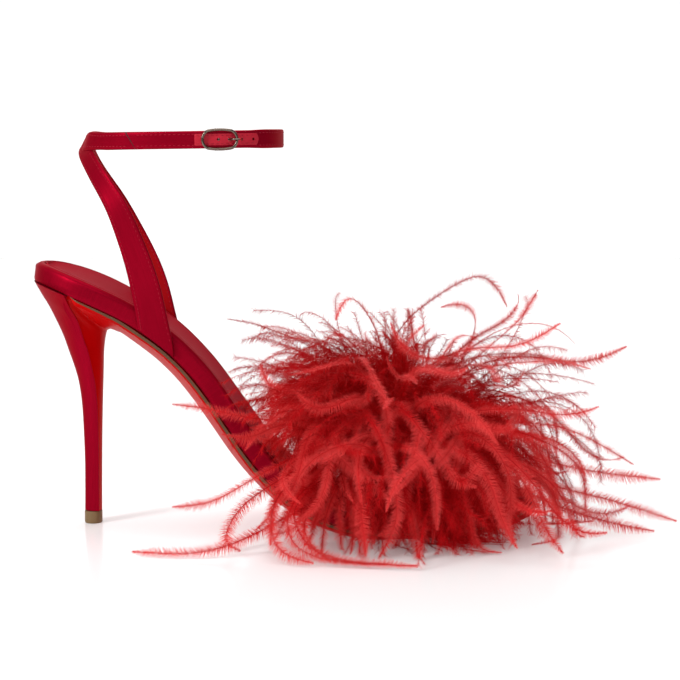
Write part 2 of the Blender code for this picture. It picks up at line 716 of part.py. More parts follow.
def make_ankle_straps():
    straps = add_object("ankle_straps", make_outer_strap(), satin)
    combine(straps, add_cutter("inner_strap", make_inner_strap()), "UNION")
    frame = strap_frame(BUCKLE_PLACE)
    half = BILLET_WIDTH / 2
    barrel = (in_frame(frame, BAR_PLACE, -BAR_DEPTH, -half),
              in_frame(frame, BAR_PLACE, -BAR_DEPTH, half))
    combine(straps, add_cylinder("strap_fold", *barrel, FOLD_RADIUS, 16), "UNION")
    bore = (in_frame(frame, BAR_PLACE, -BAR_DEPTH, -half - 0.001),
            in_frame(frame, BAR_PLACE, -BAR_DEPTH, half + 0.001))
    combine(straps, add_cylinder("bar_bore", *bore, WIRE / 2 + GAP), "DIFFERENCE")
    slot = (in_frame(frame, BAR_PLACE, -BAR_DEPTH, -EYE_SLOT / 2),
            in_frame(frame, BAR_PLACE, -BAR_DEPTH, EYE_SLOT / 2))
    combine(straps, add_cylinder("eye_slot", *slot, SLOT_RADIUS, 16), "DIFFERENCE")
    across = through(LOOP_PLAN, 1)
    for index in range(HOLE_COUNT):
        away = PRONG_PLACE + (index - 3) * HOLE_PITCH
        along = BUCKLE_PLACE + away / ANKLE_LENGTH
        hole = strap_frame(along)
        radius = PRONG_HOLE / 2 if index == 3 else HOLE_DIAMETER / 2
        ends = (in_frame(hole, 0, -STRAP_THICKNESS / 2 - 0.0002, 0), in_frame(hole, 0, 0.003, 0))
        combine(straps, add_cylinder(f"hole_{index + 1}", *ends, radius, 8), "DIFFERENCE")
    return straps


def mesh_of_wire(points, radius, cyclic=False, radii=None):
    """The welded mesh of a round wire through points."""
    curve = bpy.data.curves.new("wire", "CURVE")
    curve.dimensions = "3D"
    curve.bevel_depth = radius
    curve.bevel_resolution = 2
    curve.use_fill_caps = True
    spline = curve.splines.new("POLY")
    spline.points.add(len(points) - 1)
    for point, place, thick in zip(spline.points, points, radii or [1.0] * len(points)):
        point.co = (*place, 1)
        point.radius = thick
    spline.use_cyclic_u = cyclic
    holder = bpy.data.objects.new("wire", curve)
    cutters.objects.link(holder)
    graph = bpy.context.evaluated_depsgraph_get()
    mesh = bpy.data.meshes.new_from_object(holder.evaluated_get(graph))
    bm = bmesh.new()
    bm.from_mesh(mesh)
    bmesh.ops.remove_doubles(bm, verts=bm.verts, dist=1e-6)
    bpy.data.objects.remove(holder, do_unlink=True)
    return mesh_from(bm, "wire")


def make_buckle_frame():
    """Oval ring outside the billet, with a centre bar that passes round behind it."""
    frame = strap_frame(BUCKLE_PLACE)
    long_half, high_half = (BUCKLE_LENGTH - WIRE) / 2, (BUCKLE_HEIGHT - WIRE) / 2
    ring = []
    for step in range(20):
        angle = 2 * math.pi * step / 20
        c, s = math.cos(angle), math.sin(angle)
        ring.append(in_frame(frame, long_half * math.copysign(abs(c) ** 0.8, c), RING_OUT,
                             high_half * math.copysign(abs(s) ** 0.8, s)))
    solid = add_object("buckle_frame", mesh_of_wire(ring, WIRE / 2, cyclic=True), bronze)
    leg = BILLET_WIDTH / 2 + GAP + WIRE / 2
    half_bar = ((RING_OUT, high_half), (RING_OUT - 0.0007, leg), (0.001 - BAR_DEPTH, leg),
                (-BAR_DEPTH, leg - 0.0003))
    path = [in_frame(frame, BAR_PLACE, out, up) for out, up in half_bar]
    path += [in_frame(frame, BAR_PLACE, out, -up) for out, up in reversed(half_bar)]
    combine(solid, add_cutter("centre_bar", mesh_of_wire(path, WIRE / 2 * 0.92)), "UNION")
    return solid


def make_buckle_prong():
    """Prong with an eye round the centre bar, through the strap and over the ring's front."""
    frame = strap_frame(BUCKLE_PLACE)
    eye = []
    for step in range(14):
        angle = 2 * math.pi * step / 14
        eye.append(in_frame(frame, BAR_PLACE + EYE_RADIUS * math.cos(angle),
                            EYE_RADIUS * math.sin(angle) - BAR_DEPTH, 0))
    solid = add_object("buckle_prong", mesh_of_wire(eye, PRONG_WIRE / 2, cyclic=True), bronze)
    route = (
        (BAR_PLACE + EYE_RADIUS, 0.0001 - BAR_DEPTH), (PRONG_PLACE - 0.0014, -0.0021),
        (PRONG_PLACE - 0.0004, -0.0014), (PRONG_PLACE - 0.0001, -0.0005),
        (PRONG_PLACE + 0.0001, 0.0005), (PRONG_PLACE + 0.0006, 0.0015),
        (PRONG_PLACE + 0.0015, RING_OUT + 0.0010), (BUCKLE_LENGTH / 2 - WIRE / 2, RING_OUT + 0.0013),
        (BUCKLE_LENGTH / 2 + 0.0004, RING_OUT + 0.0012),
    )
    arm = [in_frame(frame, along, out, 0) for along, out in route]
    taper = [1.0] * 6 + [0.95, 0.85, 0.7]
    combine(solid, add_cutter("prong_arm", mesh_of_wire(arm, PRONG_WIRE / 2, radii=taper)), "UNION")
    return solid


def arch_profile(share, away):
    """Outline across the toes from wall to wall over the foot, at a distance outside the band's
    inner face, as points on the sole's own levels."""
    x = place_at(share)
    outer, inner = half_widths(x)
    along = max((share - BAND_START) / (BAND_END - BAND_START), 0.0)
    footbed = FOOTBED_THICKNESS * footbed_share(share)
    base = footbed + BAND_SPRING
    crown = BAND_RISE * max(1 - BAND_FALL * along, ROOM_LEAST) + footbed - base + away
    clear = 2 * GAP + away
    middle, half = (inner - outer) / 2, (inner + outer) / 2 + clear
    points = [on_sole(x, middle - half, BAND_FOOT)]
    for step in range(13):
        angle = math.pi * step / 12
        c, s = -math.cos(angle), math.sin(angle)
        points.append(on_sole(x, middle + half * math.copysign(abs(c) ** 0.85, c),
                              base + crown * s ** 0.9))
    points.append(on_sole(x, middle + half, BAND_FOOT))
    return points


def band_shares():
    return [BAND_START + (BAND_END - BAND_START) * step / 5 for step in range(6)]


def make_vamp_band():
    bm = bmesh.new()
    rows = [[bm.verts.new(point) for point in arch_profile(share, 0.0)]
            for share in band_shares()]
    for row, following in zip(rows, rows[1:]):
        for i in range(len(row) - 1):
            bm.faces.new((row[i], row[i + 1], following[i + 1], following[i]))
    band = add_object("vamp_band", mesh_from(bm, "vamp_band"), satin)
    shell = band.modifiers.new("Wall", "SOLIDIFY")
    shell.thickness = BAND_THICKNESS
    shell.offset = 1.0
    shell.use_even_offset = True
    return band


def make_foot_space():
    """The room of the foot, band and sole, which the feathers stay out of."""
    bm = bmesh.new()
    loops = []
    for share in (0.56, 0.60, *band_shares(), 0.88, 0.93, 0.97, 0.999):
        loop = arch_profile(share, BAND_THICKNESS + 4 * GAP)
        down = Vector((0, 0, ROOM_DEPTH))
        loop = [loop[0] - down] + loop[1:-1] + [loop[-1] - down]
        loops.append(loop)
    add_loft(bm, loops)
    return add_cutter("foot_space", mesh_from(bm, "foot_space"))


def lowest_level(point, radius):
    """How low the middle of a lock may lie: on the floor, or over the footbed behind the band."""
    rear = place_at(BAND_START)
    if point.x < rear and abs(point.y) < abs(wall(point.x, point.y)) + FEATHERS_OVER_SOLE + radius:
        return sole_level(point.x) + FOOTBED_THICKNESS + FEATHERS_OVER_SOLE + radius
    return FLOOR_CLEARANCE + radius


def add_lock(bm, centre, size, direction, lift, length, bend, width):
    """One lock of feathers that leaves the core and bends steadily down, as far as it can."""
    turn, rise = math.radians(direction), math.radians(lift)
    reach = BACKWARDS if math.cos(turn) < 0 else 1.0
    ahead = Vector((reach * math.cos(turn), SIDEWAYS * math.sin(turn), 0))
    stride = length * ahead.length / LOCK_STEPS
    ahead.normalize()
    side = Vector((ahead.y, -ahead.x, 0))
    point = centre + LOCK_ROOT * Vector((
        size.x * math.cos(rise) * math.cos(turn), size.y * math.cos(rise) * math.sin(turn),
        size.z * math.sin(rise)))
    loops = []
    for step in range(LOCK_STEPS + 1):
        t = step / LOCK_STEPS
        low, high = LOCK_SWELL
        radius = width / 2 * math.sin(math.pi * (low + (high - low) * t))
        point.z = max(point.z, lowest_level(point, radius))
        slant = max(rise - math.radians(bend) * t, -math.radians(STEEPEST))
        way = ahead * math.cos(slant) + Vector((0, 0, math.sin(slant)))
        up = side.cross(way)
        loops.append([point + side * radius * math.cos(a) + up * radius * math.sin(a)
                      for a in (math.tau * k / 5 + 0.3 for k in range(5))])
        point = point + way * stride
    add_loft(bm, loops)


def make_feather_trim():
    x = place_at((BAND_START + BAND_END) / 2)
    centre = Vector((x + CORE_AHEAD, 0, sole_level(x) + BAND_RISE))
    size = Vector(CORE_SHARES) * FEATHER_LENGTH
    bm = bmesh.new()
    bmesh.ops.create_uvsphere(bm, u_segments=14, v_segments=9, radius=1.0)
    for vert in bm.verts:
        vert.co = centre + Vector(a * b for a, b in zip(vert.co, size))
    trim = add_object("feather_trim", mesh_from(bm, "feather_core"), feather)
    chance = random.Random(4)
    locks = bmesh.new()
    for first, last, number, lift, reach, bend, width in LOCK_RINGS:
        for index in range(number):
            direction = first + (last - first) * index / (number - 1) + chance.uniform(-5, 5)
            add_lock(locks, centre, size, direction, lift + chance.uniform(-5, 5),
                     reach * FEATHER_LENGTH * chance.uniform(0.85, 1.1),
                     bend * chance.uniform(0.85, 1.1), width * LOCK_WIDTH)
    for direction, lift, reach, bend, width in PLUMES:
        add_lock(locks, centre, size, direction, lift, reach * FEATHER_LENGTH, bend,
                 width * LOCK_WIDTH)
    combine(trim, add_cutter("feather_locks", mesh_from(locks, "feather_locks")), "UNION", True)
    combine(trim, make_foot_space(), "DIFFERENCE")
    return trim


for old in list(bpy.data.objects):
    bpy.data.objects.remove(old, do_unlink=True)
sandal = bpy.data.collections.new("strappy_heeled_sandal")
cutters = bpy.data.collections.new("cutters")
for collection in (sandal, cutters):
    bpy.context.scene.collection.children.link(collection)

satin = paint("red_satin", RED_SATIN, 0.35)
lacquer = paint("red_lacquer", RED_LACQUER, 0.15)
leather = paint("red_leather", RED_LEATHER, 0.40)
rubber = paint("tan_rubber", TAN_RUBBER, 0.60)
feather = paint("red_feather", RED_FEATHER, 0.80)
bronze = paint("bronze", BRONZE, 0.25, 1.0)

make_footbed()
make_sock_lining()
make_heel()
make_heel_tip()
make_outsole()
make_ankle_straps()
make_buckle_frame()
make_buckle_prong()
make_vamp_band()
make_feather_trim()
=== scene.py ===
"""Looks of a strappy heeled sandal: red satin on a stiletto heel, a lacquered leather sole, a small
oval buckle and ostrich feathers over the toes. Metres, +Z up, the toe towards +X."""

import math
from bisect import bisect_right

import bpy
import numpy as np
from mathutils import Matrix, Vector


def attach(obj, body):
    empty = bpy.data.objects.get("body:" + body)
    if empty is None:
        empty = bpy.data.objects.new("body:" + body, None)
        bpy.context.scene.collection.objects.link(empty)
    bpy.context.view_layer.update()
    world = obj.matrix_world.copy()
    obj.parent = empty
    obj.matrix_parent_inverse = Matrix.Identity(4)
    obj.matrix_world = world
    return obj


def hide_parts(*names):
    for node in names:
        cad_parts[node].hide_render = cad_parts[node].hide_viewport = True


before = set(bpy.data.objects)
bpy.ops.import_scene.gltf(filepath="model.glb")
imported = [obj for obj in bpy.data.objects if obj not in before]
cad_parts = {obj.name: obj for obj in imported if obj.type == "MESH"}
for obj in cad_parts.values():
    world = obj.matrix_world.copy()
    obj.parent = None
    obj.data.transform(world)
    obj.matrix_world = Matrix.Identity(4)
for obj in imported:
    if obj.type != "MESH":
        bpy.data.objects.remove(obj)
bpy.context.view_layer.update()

# Camera
# Level with the straps and turned a little down, square to the outer side, as shoes are shown for
# sale. A long lens, about seven tenths of a metre away.

LOOKING_DOWN = 6.61          # degrees


def put(name, data):
    """A new object in the scene."""
    thing = bpy.data.objects.new(name, data)
    bpy.context.scene.collection.objects.link(thing)
    return thing


camera_lens = bpy.data.cameras.new("camera")
camera_lens.sensor_width = 36.0
camera_lens.lens = 92.75
camera_lens.clip_end = 20.0
camera = put("camera", camera_lens)
camera.location = (0.1018, -0.711, 0.158)
camera.rotation_euler = (math.radians(90 - LOOKING_DOWN), 0, 0)
bpy.context.scene.camera = camera

# Studio
# A white sweep of satin card that the shoe stands on, and lamps behind wide soft screens: one
# overhead, one at the left, one over the camera and a weaker one behind.


def linear(hex_colour):
    """An sRGB hex colour as linear red, green, blue and alpha."""
    values = [int(hex_colour[i:i + 2], 16) / 255 for i in (1, 3, 5)]
    return (*[v / 12.92 if v <= 0.04045 else ((v + 0.055) / 1.055) ** 2.4 for v in values], 1.0)


def add_node(material, kind, links=(), into=None, numbered=None, **settings):
    """A node with its own properties or unlinked sockets set, by name or by number, with links to
    it from (output, its input) and one from it into (its output, other node, input)."""
    node = material.node_tree.nodes.new(kind)
    for name, value in settings.items():
        socket = node.inputs.get(name.replace("_", " ").title().replace("Ior", "IOR"))
        if hasattr(node, name) and socket is None:
            setattr(node, name, value)
        else:
            socket.default_value = value
    for number, value in (numbered or {}).items():
        node.inputs[number].default_value = value
    for output, name in links:
        material.node_tree.links.new(output, node.inputs[name])
    if into:
        output, other, name = into
        material.node_tree.links.new(node.outputs[output], other.inputs[name])
    return node


def start_finish(name, colour, **settings):
    """A material with its one shader; returns both."""
    material = bpy.data.materials.new(name)
    material.use_nodes = True
    material.node_tree.nodes.clear()
    shader = add_node(material, "ShaderNodeBsdfPrincipled", base_color=linear(colour), **settings)
    add_node(material, "ShaderNodeOutputMaterial", [(shader.outputs[0], "Surface")])
    return material, shader


# Satin card: it mirrors the shoe faintly close to where it stands. The wall is the same card, lit
# from behind until it is plain white.
card_white, floor_shader = start_finish(
    "white_card", "#F2F2F2", roughness=0.16, specular_ior_level=0.20, emission_strength=0.14)
card_lit, wall_shader = start_finish(
    "white_card_lit_from_behind", "#F2F2F2", roughness=0.5, emission_strength=0.60)
for card in (floor_shader, wall_shader):
    card.inputs["Emission Color"].default_value = (1.0, 1.0, 1.0, 1.0)

SWEEP_FRONT = -2.2
SWEEP_BACK = 1.6
SWEEP_RADIUS = 0.9
SWEEP_HALF = 3.0
WALL_HEIGHT = 3.0
TURN_STEPS = 16

sweep_line = [(SWEEP_FRONT, 0.0), (SWEEP_BACK, 0.0)]
for step in range(1, TURN_STEPS + 1):
    angle = math.pi / 2 * step / TURN_STEPS
    sweep_line.append((SWEEP_BACK + SWEEP_RADIUS * math.sin(angle),
                       SWEEP_RADIUS * (1 - math.cos(angle))))
sweep_line.append((SWEEP_BACK + SWEEP_RADIUS, WALL_HEIGHT))
sweep_mesh = bpy.data.meshes.new("sweep")
sweep_mesh.from_pydata(
    [(x, y, z) for y, z in sweep_line for x in (-SWEEP_HALF, SWEEP_HALF)], [],
    [(2 * i, 2 * i + 1, 2 * i + 3, 2 * i + 2) for i in range(len(sweep_line) - 1)])
sweep_mesh.shade_smooth()
sweep_mesh.materials.append(card_white)
sweep_mesh.materials.append(card_lit)
sweep_mesh.polygons.foreach_set("material_index", [0] + [1] * (len(sweep_line) - 2))
put("sweep", sweep_mesh)

room = bpy.data.worlds.new("room")
room.use_nodes = True
sky = room.node_tree.nodes["Background"]
sky.inputs["Color"].default_value = (1.0, 1.0, 1.0, 1.0)
sky.inputs["Strength"].default_value = 0.22
bpy.context.scene.world = room
bpy.context.scene.view_settings.view_transform = "Standard"


def add_screen(name, place, aim, width, height, power):
    """A lamp behind a wide soft screen."""
    lamp = bpy.data.lights.new(name, "AREA")
    lamp.shape = "RECTANGLE"
    lamp.size = width
    lamp.size_y = height
    lamp.energy = power
    screen = put(name, lamp)
    screen.location = place
    way = Vector(aim) - Vector(place)
    screen.rotation_euler = way.to_track_quat("-Z", "Y").to_euler()


add_screen("screen_overhead", (0.05, 0.1, 1.3), (0.08, 0.0, 0.05), 1.2, 1.0, 10.0)
add_screen("screen_left", (-0.9, -0.8, 0.8), (0.05, 0.0, 0.08), 0.30, 0.8, 13.0)
add_screen("screen_front", (0.4, -1.4, 1.0), (0.1, 0.0, 0.04), 0.7, 0.5, 4.5)
add_screen("screen_behind", (0.3, 1.2, 0.9), (0.08, 0.0, 0.1), 1.0, 0.4, 2.0)

# Footbed
# The shank board that the foot stands on, high at the seat and flat at the ball. Satin is drawn
# over its edge from below and turned in on top, so it shows a rounded rim all round.

SOLE_LENGTH = 0.2047
SEAT_HEIGHT = 0.1009
SEAT_OVERHANG = 0.0223
BALL_WIDTH = 0.0740
TREAD_LEVEL = 0.0040
FOOTBED_THICKNESS = 0.0078
RIM_ROUND = 0.0020
RIM_WIDTH = 0.0030
RECESS_DEPTH = 0.0013
SEAT_ROUND = 0.122           # share of the length
TOE_ROUND = 0.160            # share of the length
RING_STEPS = 170

# share of the sole's length, share of the seat's height above the tread
SIDE_PROFILE = (
    (0.000, 1.000), (0.028, 0.988), (0.057, 0.968), (0.105, 0.927), (0.156, 0.876),
    (0.190, 0.835), (0.220, 0.792), (0.265, 0.718), (0.318, 0.602), (0.382, 0.415),
    (0.431, 0.270), (0.490, 0.140), (0.549, 0.062), (0.612, 0.017), (0.680, 0.000),
    (0.842, 0.000), (0.920, 0.012), (1.000, 0.046),
)

# share of the length, outer half and inner half as shares of the ball's width, footbed's thickness
PLAN = (
    (0.00, 0.345, 0.345, 0.95), (0.12, 0.343, 0.336, 1.00), (0.22, 0.287, 0.277, 1.00),
    (0.32, 0.264, 0.247, 1.00), (0.42, 0.325, 0.290, 0.97), (0.55, 0.445, 0.405, 0.85),
    (0.66, 0.500, 0.470, 0.72), (0.75, 0.480, 0.488, 0.66), (0.85, 0.410, 0.455, 0.64),
    (0.93, 0.330, 0.405, 0.60), (1.00, 0.250, 0.350, 0.55),
)


def through(table, column):
    """A smooth curve through one column of a table, which never overshoots its rows."""
    x = [row[0] for row in table]
    y = [row[column] for row in table]
    step = [b - a for a, b in zip(x, x[1:])]
    slope = [(b - a) / h for a, b, h in zip(y, y[1:], step)]
    tangent = [slope[0]]
    for left, right in zip(slope, slope[1:]):
        same = left * right > 0
        tangent.append(2 * left * right / (left + right) if same else 0.0)
    tangent.append(slope[-1])

    def value(at):
        i = min(max(bisect_right(x, at) - 1, 0), len(step) - 1)
        t = min(max((at - x[i]) / step[i], 0.0), 1.0)
        low = (1 + 2 * t) * (1 - t) ** 2 * y[i] + t * t * (3 - 2 * t) * y[i + 1]
        return low + step[i] * t * (1 - t) * ((1 - t) * tangent[i] - t * tangent[i + 1])

    return value


profile_share = through(SIDE_PROFILE, 1)
outer_share = through(PLAN, 1)
inner_share = through(PLAN, 2)
thickness_share = through(PLAN, 3)


def share_at(x):
    """Share of the sole's length at a place along it."""
    return (x + SEAT_OVERHANG) / SOLE_LENGTH


def place_at(share):
    """Place along the shoe at a share of the sole's length."""
    return share * SOLE_LENGTH - SEAT_OVERHANG


def sole_level(x):
    """Height of the footbed's underside."""
    return TREAD_LEVEL + (SEAT_HEIGHT - TREAD_LEVEL) * profile_share(share_at(x))


def on_sole(x, y, rise):
    """A point above the footbed's underside, square to its slope."""
    slope = (sole_level(x + 0.0005) - sole_level(x - 0.0005)) / 0.001
    return Vector((x, y, sole_level(x))) + Vector((-slope, 0, 1)).normalized() * rise


def half_widths(share):
    """Distance of the footbed's outer and inner walls from the middle line."""
    outer, inner = outer_share(share) * BALL_WIDTH, inner_share(share) * BALL_WIDTH
    back = min(share / SEAT_ROUND, 1.0)
    toe = min((1 - share) / TOE_ROUND, 1.0)
    left = math.sqrt(1 - (1 - back) ** 2) * (1 - (1 - toe) ** 2.3) ** 0.62
    half = (inner + outer) / 2 * left
    return half - (inner - outer) / 2, half + (inner - outer) / 2


def sole_ring(inset, rise):
    """A line round the sole, a distance inside its wall and above its underside; rise is a share
    of the footbed's thickness plus a length. The first half is the outer side."""
    shares = [0.5 - 0.5 * math.cos(math.pi * (i + 0.5) / RING_STEPS) for i in range(RING_STEPS)]
    sides = [half_widths(share) for share in shares]
    wall = [(place_at(s), -side[0]) for s, side in zip(shares, sides)]
    wall += [(place_at(s), side[1]) for s, side in zip(reversed(shares), reversed(sides))]
    points = []
    for index, (x, y) in enumerate(wall):
        before, after = wall[index - 1], wall[(index + 1) % len(wall)]
        along = Vector((after[0] - before[0], after[1] - before[1])).normalized()
        x, y = x - along.y * inset, y + along.x * inset
        thickness = FOOTBED_THICKNESS * thickness_share(share_at(x))
        points.append(on_sole(x, y, thickness * rise[0] + rise[1]))
    return points


def skin(name, rings, materials, paint=None, sharp=40):
    """A closed surface through rings of points. The ends are closed with strips between points
    that lie opposite each other; the map is in metres, along and around."""
    rings = np.array([[tuple(point) for point in ring] for ring in rings], dtype=float)
    rows, columns = rings.shape[:2]
    corners = [((r, c), (r, c + 1), (r + 1, c + 1), (r + 1, c))
               for r in range(rows - 1) for c in range(columns)]
    corners += [((r, c), (r, c + 1), (r, columns - 2 - c), (r, columns - 1 - c))
                for r in (0, rows - 1) for c in range(columns // 2 - 1)]
    faces = [[r * columns + c % columns for r, c in face] for face in corners]
    mesh = bpy.data.meshes.new(name)
    mesh.from_pydata(rings.reshape(-1, 3).tolist(), [], faces)
    along = np.concatenate([[0], np.cumsum(
        np.linalg.norm(np.diff(rings, axis=0), axis=2).mean(axis=1))])
    looped = np.concatenate([rings, rings[:, :1]], axis=1)
    around = np.concatenate([[0], np.cumsum(
        np.linalg.norm(np.diff(looped, axis=1), axis=2).mean(axis=0))])
    layer = mesh.uv_layers.new(name="metres")
    places = [(along[r], around[c]) for face in corners for r, c in face]
    layer.data.foreach_set("uv", np.array(places).ravel())
    for material in materials:
        mesh.materials.append(material)
    if paint:
        mesh.polygons.foreach_set("material_index", [paint(*face[0]) for face in corners])
    mesh.shade_smooth()
    mesh.set_sharp_from_angle(angle=math.radians(sharp))
    return turned_out(put(name, mesh))


def turned_out(shape):
    """The same closed surface with its faces turned outwards."""
    mesh = shape.data
    corners = np.empty(len(mesh.vertices) * 3)
    mesh.vertices.foreach_get("co", corners)
    corners = corners.reshape(-1, 3)
    volume = 0.0
    for face in mesh.polygons:
        first, *rest = [corners[i] for i in face.vertices]
        for a, b in zip(rest, rest[1:]):
            volume += np.dot(first, np.cross(a, b))
    if volume < 0:
        mesh.flip_normals()
    return shape


def show(shape, slot, *nodes):
    """The piece rides on the shoe and stands for CAD nodes; the slot is not used."""
    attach(shape, "root")
    if nodes:
        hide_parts(*nodes)
    return shape


# Duchess satin, woven with long smooth warp floats. The floats run along each piece and spread the
# highlight across them, red like the thread, which a partly metallic shader gives. The cloth is
# about 0.1 mm fine, so its lines are drawn at 0.5 mm to show.
FLOAT_WIDTH = 0.0005
FLOATS_ALONG = 90.0          # changes of tone in each metre along the floats
SATIN_RED = "#A00824"

red_satin, satin_shader = start_finish(
    "red_satin", SATIN_RED, roughness=0.38, ior=1.5, metallic=0.45, anisotropic=0.45,
    specular_ior_level=0.02, specular_tint=linear("#E8506A"))
cloth_metres = add_node(red_satin, "ShaderNodeTexCoord").outputs["UV"]
warp = add_node(red_satin, "ShaderNodeMapping", [(cloth_metres, "Vector")],
                scale=(FLOATS_ALONG, 1.0 / FLOAT_WIDTH, 1.0))
floats = add_node(red_satin, "ShaderNodeTexNoise", [(warp.outputs[0], "Vector")],
                  scale=1.0, detail=2.0, roughness=0.6)
cloth = add_node(red_satin, "ShaderNodeTexNoise", [(cloth_metres, "Vector")],
                 scale=70.0, detail=3.0, roughness=0.5)
float_relief = add_node(red_satin, "ShaderNodeBump", [(floats.outputs["Fac"], "Height")],
                        strength=0.10, distance=0.0003)
add_node(red_satin, "ShaderNodeBump",
         [(cloth.outputs["Fac"], "Height"), (float_relief.outputs[0], "Normal")],
         into=(0, satin_shader, "Normal"), strength=0.22, distance=0.0009)
add_node(red_satin, "ShaderNodeMix", [(floats.outputs["Fac"], "Factor")], data_type="RGBA",
         numbered={6: linear("#84041A"), 7: linear(SATIN_RED)},
         into=(2, satin_shader, "Base Color"))

RIM_STEPS = 7
rim_turn = [(RIM_ROUND * (1 - math.sin(a)), (1.0, -RIM_ROUND * (1 - math.cos(a))))
            for a in (math.pi / 2 * k / RIM_STEPS for k in range(RIM_STEPS, -1, -1))]
# lines round the footbed, from its underside over the wall and the rim into the recess: distance
# inside the wall, then height as a share of the thickness plus a length
footbed_lines = [(0.0040, (0.0, 0.0)), (0.0007, (0.0, 0.0)), (0.0002, (0.0, 0.0002)),
                 (0.0, (0.0, 0.0008)), (0.0, (0.35, 0.0)), (0.0, (0.60, 0.0))]
footbed_lines += rim_turn
footbed_lines += [(RIM_WIDTH - 0.0003, (1.0, 0.0)), (RIM_WIDTH, (1.0, -0.0003)),
                  (RIM_WIDTH + 0.0002, (1.0, -RECESS_DEPTH)),
                  (RIM_WIDTH + 0.0020, (1.0, -RECESS_DEPTH - 0.0002))]
footbed = skin("footbed_satin", [sole_ring(inset, rise) for inset, rise in footbed_lines],
               [red_satin])
show(footbed, "red_satin", "footbed")

# Sock lining
# Thin glazed leather, skived at its edge and glued into the recess, so that it lies level with the
# satin rim. A thin low glaze leaves it a little darker and duller than the satin.

SOCK_THICKNESS = 0.0010
CUP_DEPTH = 0.0012
SOCK_INSET = RIM_WIDTH + 0.0005
GAP = 0.0003


def add_grain(material, shader, texture, strength, distance, **pattern):
    """Fine relief all over a piece, with as many grains in a metre as the pattern's scale;
    returns the coordinates that it lies in."""
    metres = add_node(material, "ShaderNodeTexCoord").outputs["Object"]
    grain = add_node(material, texture, [(metres, "Vector")], **pattern)
    add_node(material, "ShaderNodeBump", [(grain.outputs[0], "Height")],
             into=(0, shader, "Normal"), strength=strength, distance=distance)
    return metres


# Glazed leather, rolled under pressure with a thin clear coat: a fine closed grain and a low,
# dull shine.
glazed_leather, glazed_shader = start_finish(
    "glazed_leather", "#A00A20", roughness=0.60, ior=1.5, specular_ior_level=0.012)
add_grain(glazed_leather, glazed_shader, "ShaderNodeTexVoronoi", 0.10, 0.0002,
          scale=1400.0, feature="DISTANCE_TO_EDGE")


def sock_ring(inset, rise):
    """A line round the lining; below its edge lies the recess, hollowed under the foot."""
    return sole_ring(SOCK_INSET + inset, (1.0, rise - RECESS_DEPTH + GAP))


def hollowed(ring, share):
    """The ring drawn in across the foot and let down into the hollow of the footbed."""
    points = []
    for point, opposite in zip(ring, reversed(ring)):
        middle = (point + opposite) / 2
        new = middle + (point - middle) * share
        points.append(new - Vector((0, 0, CUP_DEPTH * (1 - share ** 2))))
    return points


sock_top = sock_ring(0.0005, SOCK_THICKNESS)
sock_low = sock_ring(0.0, 0.0)
sock_rings = [hollowed(sock_low, share) for share in (0.05, 0.3, 0.6, 0.85)]
sock_rings += [sock_low, sock_ring(0.0, SOCK_THICKNESS * 0.6),
               sock_ring(0.00015, SOCK_THICKNESS * 0.9), sock_top]
sock_rings += [hollowed(sock_top, share)
               for share in (0.95, 0.88, 0.78, 0.65, 0.5, 0.35, 0.2, 0.05)]
sock = skin("sock_lining_leather", sock_rings, [glazed_leather])
show(sock, "red_leather", "sock_lining")

# Outsole
# One piece of sole leather under the footbed. It is thin at the tread, rounded and full at the
# waist, and thins to a tongue down the front of the heel. Underneath it is lacquered red; its
# upright edge is left tan and waxed.

OUTSOLE_THICKNESS = 0.0037
WAIST_THICKNESS = 0.0069
EDGE_HEIGHT = 0.0018
BARE_EDGE = 0.66             # share of the upright edge that is left tan
BARE_AT_TURN = (0.60, 0.50, 0.38, 0.26)   # less of it where the waist turns to the heel
BARE_ON_TONGUE = 0.06
EDGE_MARGIN = 0.0008
FLAP_THICKNESS = 0.0014
SATIN_LIP = 0.0006
TIP_HEIGHT = 0.0050

# share of the length, thickness between tread and waist, rounded share
UNDERSIDE = (
    (0.00, 1.00, 1.00), (0.40, 1.00, 1.00), (0.52, 0.50, 0.60), (0.62, 0.06, 0.20),
    (0.68, 0.00, 0.15), (1.00, 0.00, 0.15),
)
WAIST_STATIONS = (
    0.250, 0.280, 0.310, 0.345, 0.382, 0.415, 0.450, 0.490, 0.530, 0.570, 0.612, 0.645, 0.680,
    0.735, 0.790, 0.842, 0.880, 0.915, 0.945, 0.970, 0.986, 0.995, 0.999,
)

# Sections of the heel, top to bottom: height at the back and at the corner as shares of the seat's
# height, then back, corner and front as shares of the seat's overhang, and half the width and the
# front's height as shares of the seat's half width and of the seat's height
HEEL_SECTIONS = (
    (0.9970, 0.9510, -0.985, -0.315, 0.310, 0.985, 0.790),
    (0.9470, 0.8940, -0.872, -0.229, 0.280, 0.790, 0.772),
    (0.8850, 0.8380, -0.720, -0.126, 0.262, 0.630, 0.750),
    (0.7850, 0.7600, -0.515, -0.045, 0.247, 0.478, 0.722),
    (0.7140, 0.7120, -0.406, 0.013, 0.238, 0.410, 0.696),
    (0.6360, 0.6360, -0.291, 0.072, 0.229, 0.326, 0.636),
    (0.5740, 0.5740, -0.224, 0.110, 0.218, 0.270, 0.574),
    (0.4880, 0.4880, -0.177, 0.132, 0.202, 0.220, 0.488),
    (0.3720, 0.3720, -0.154, 0.137, 0.186, 0.182, 0.372),
    (0.2560, 0.2560, -0.143, 0.134, 0.174, 0.166, 0.256),
    (0.1400, 0.1400, -0.148, 0.130, 0.164, 0.162, 0.140),
    (0.0525, 0.0525, -0.155, 0.126, 0.158, 0.160, 0.0525),
)

# Where the waist turns down into the heel's front: edge and middle along the length, and the
# underside's middle, as shares of the seat's overhang and of the seat's height
TURN_SECTIONS = (
    (0.720, 0.830, 0.640, 0.774), (0.430, 0.700, 0.540, 0.785),
    (0.160, 0.560, 0.450, 0.793), (-0.080, 0.410, 0.380, 0.796),
)

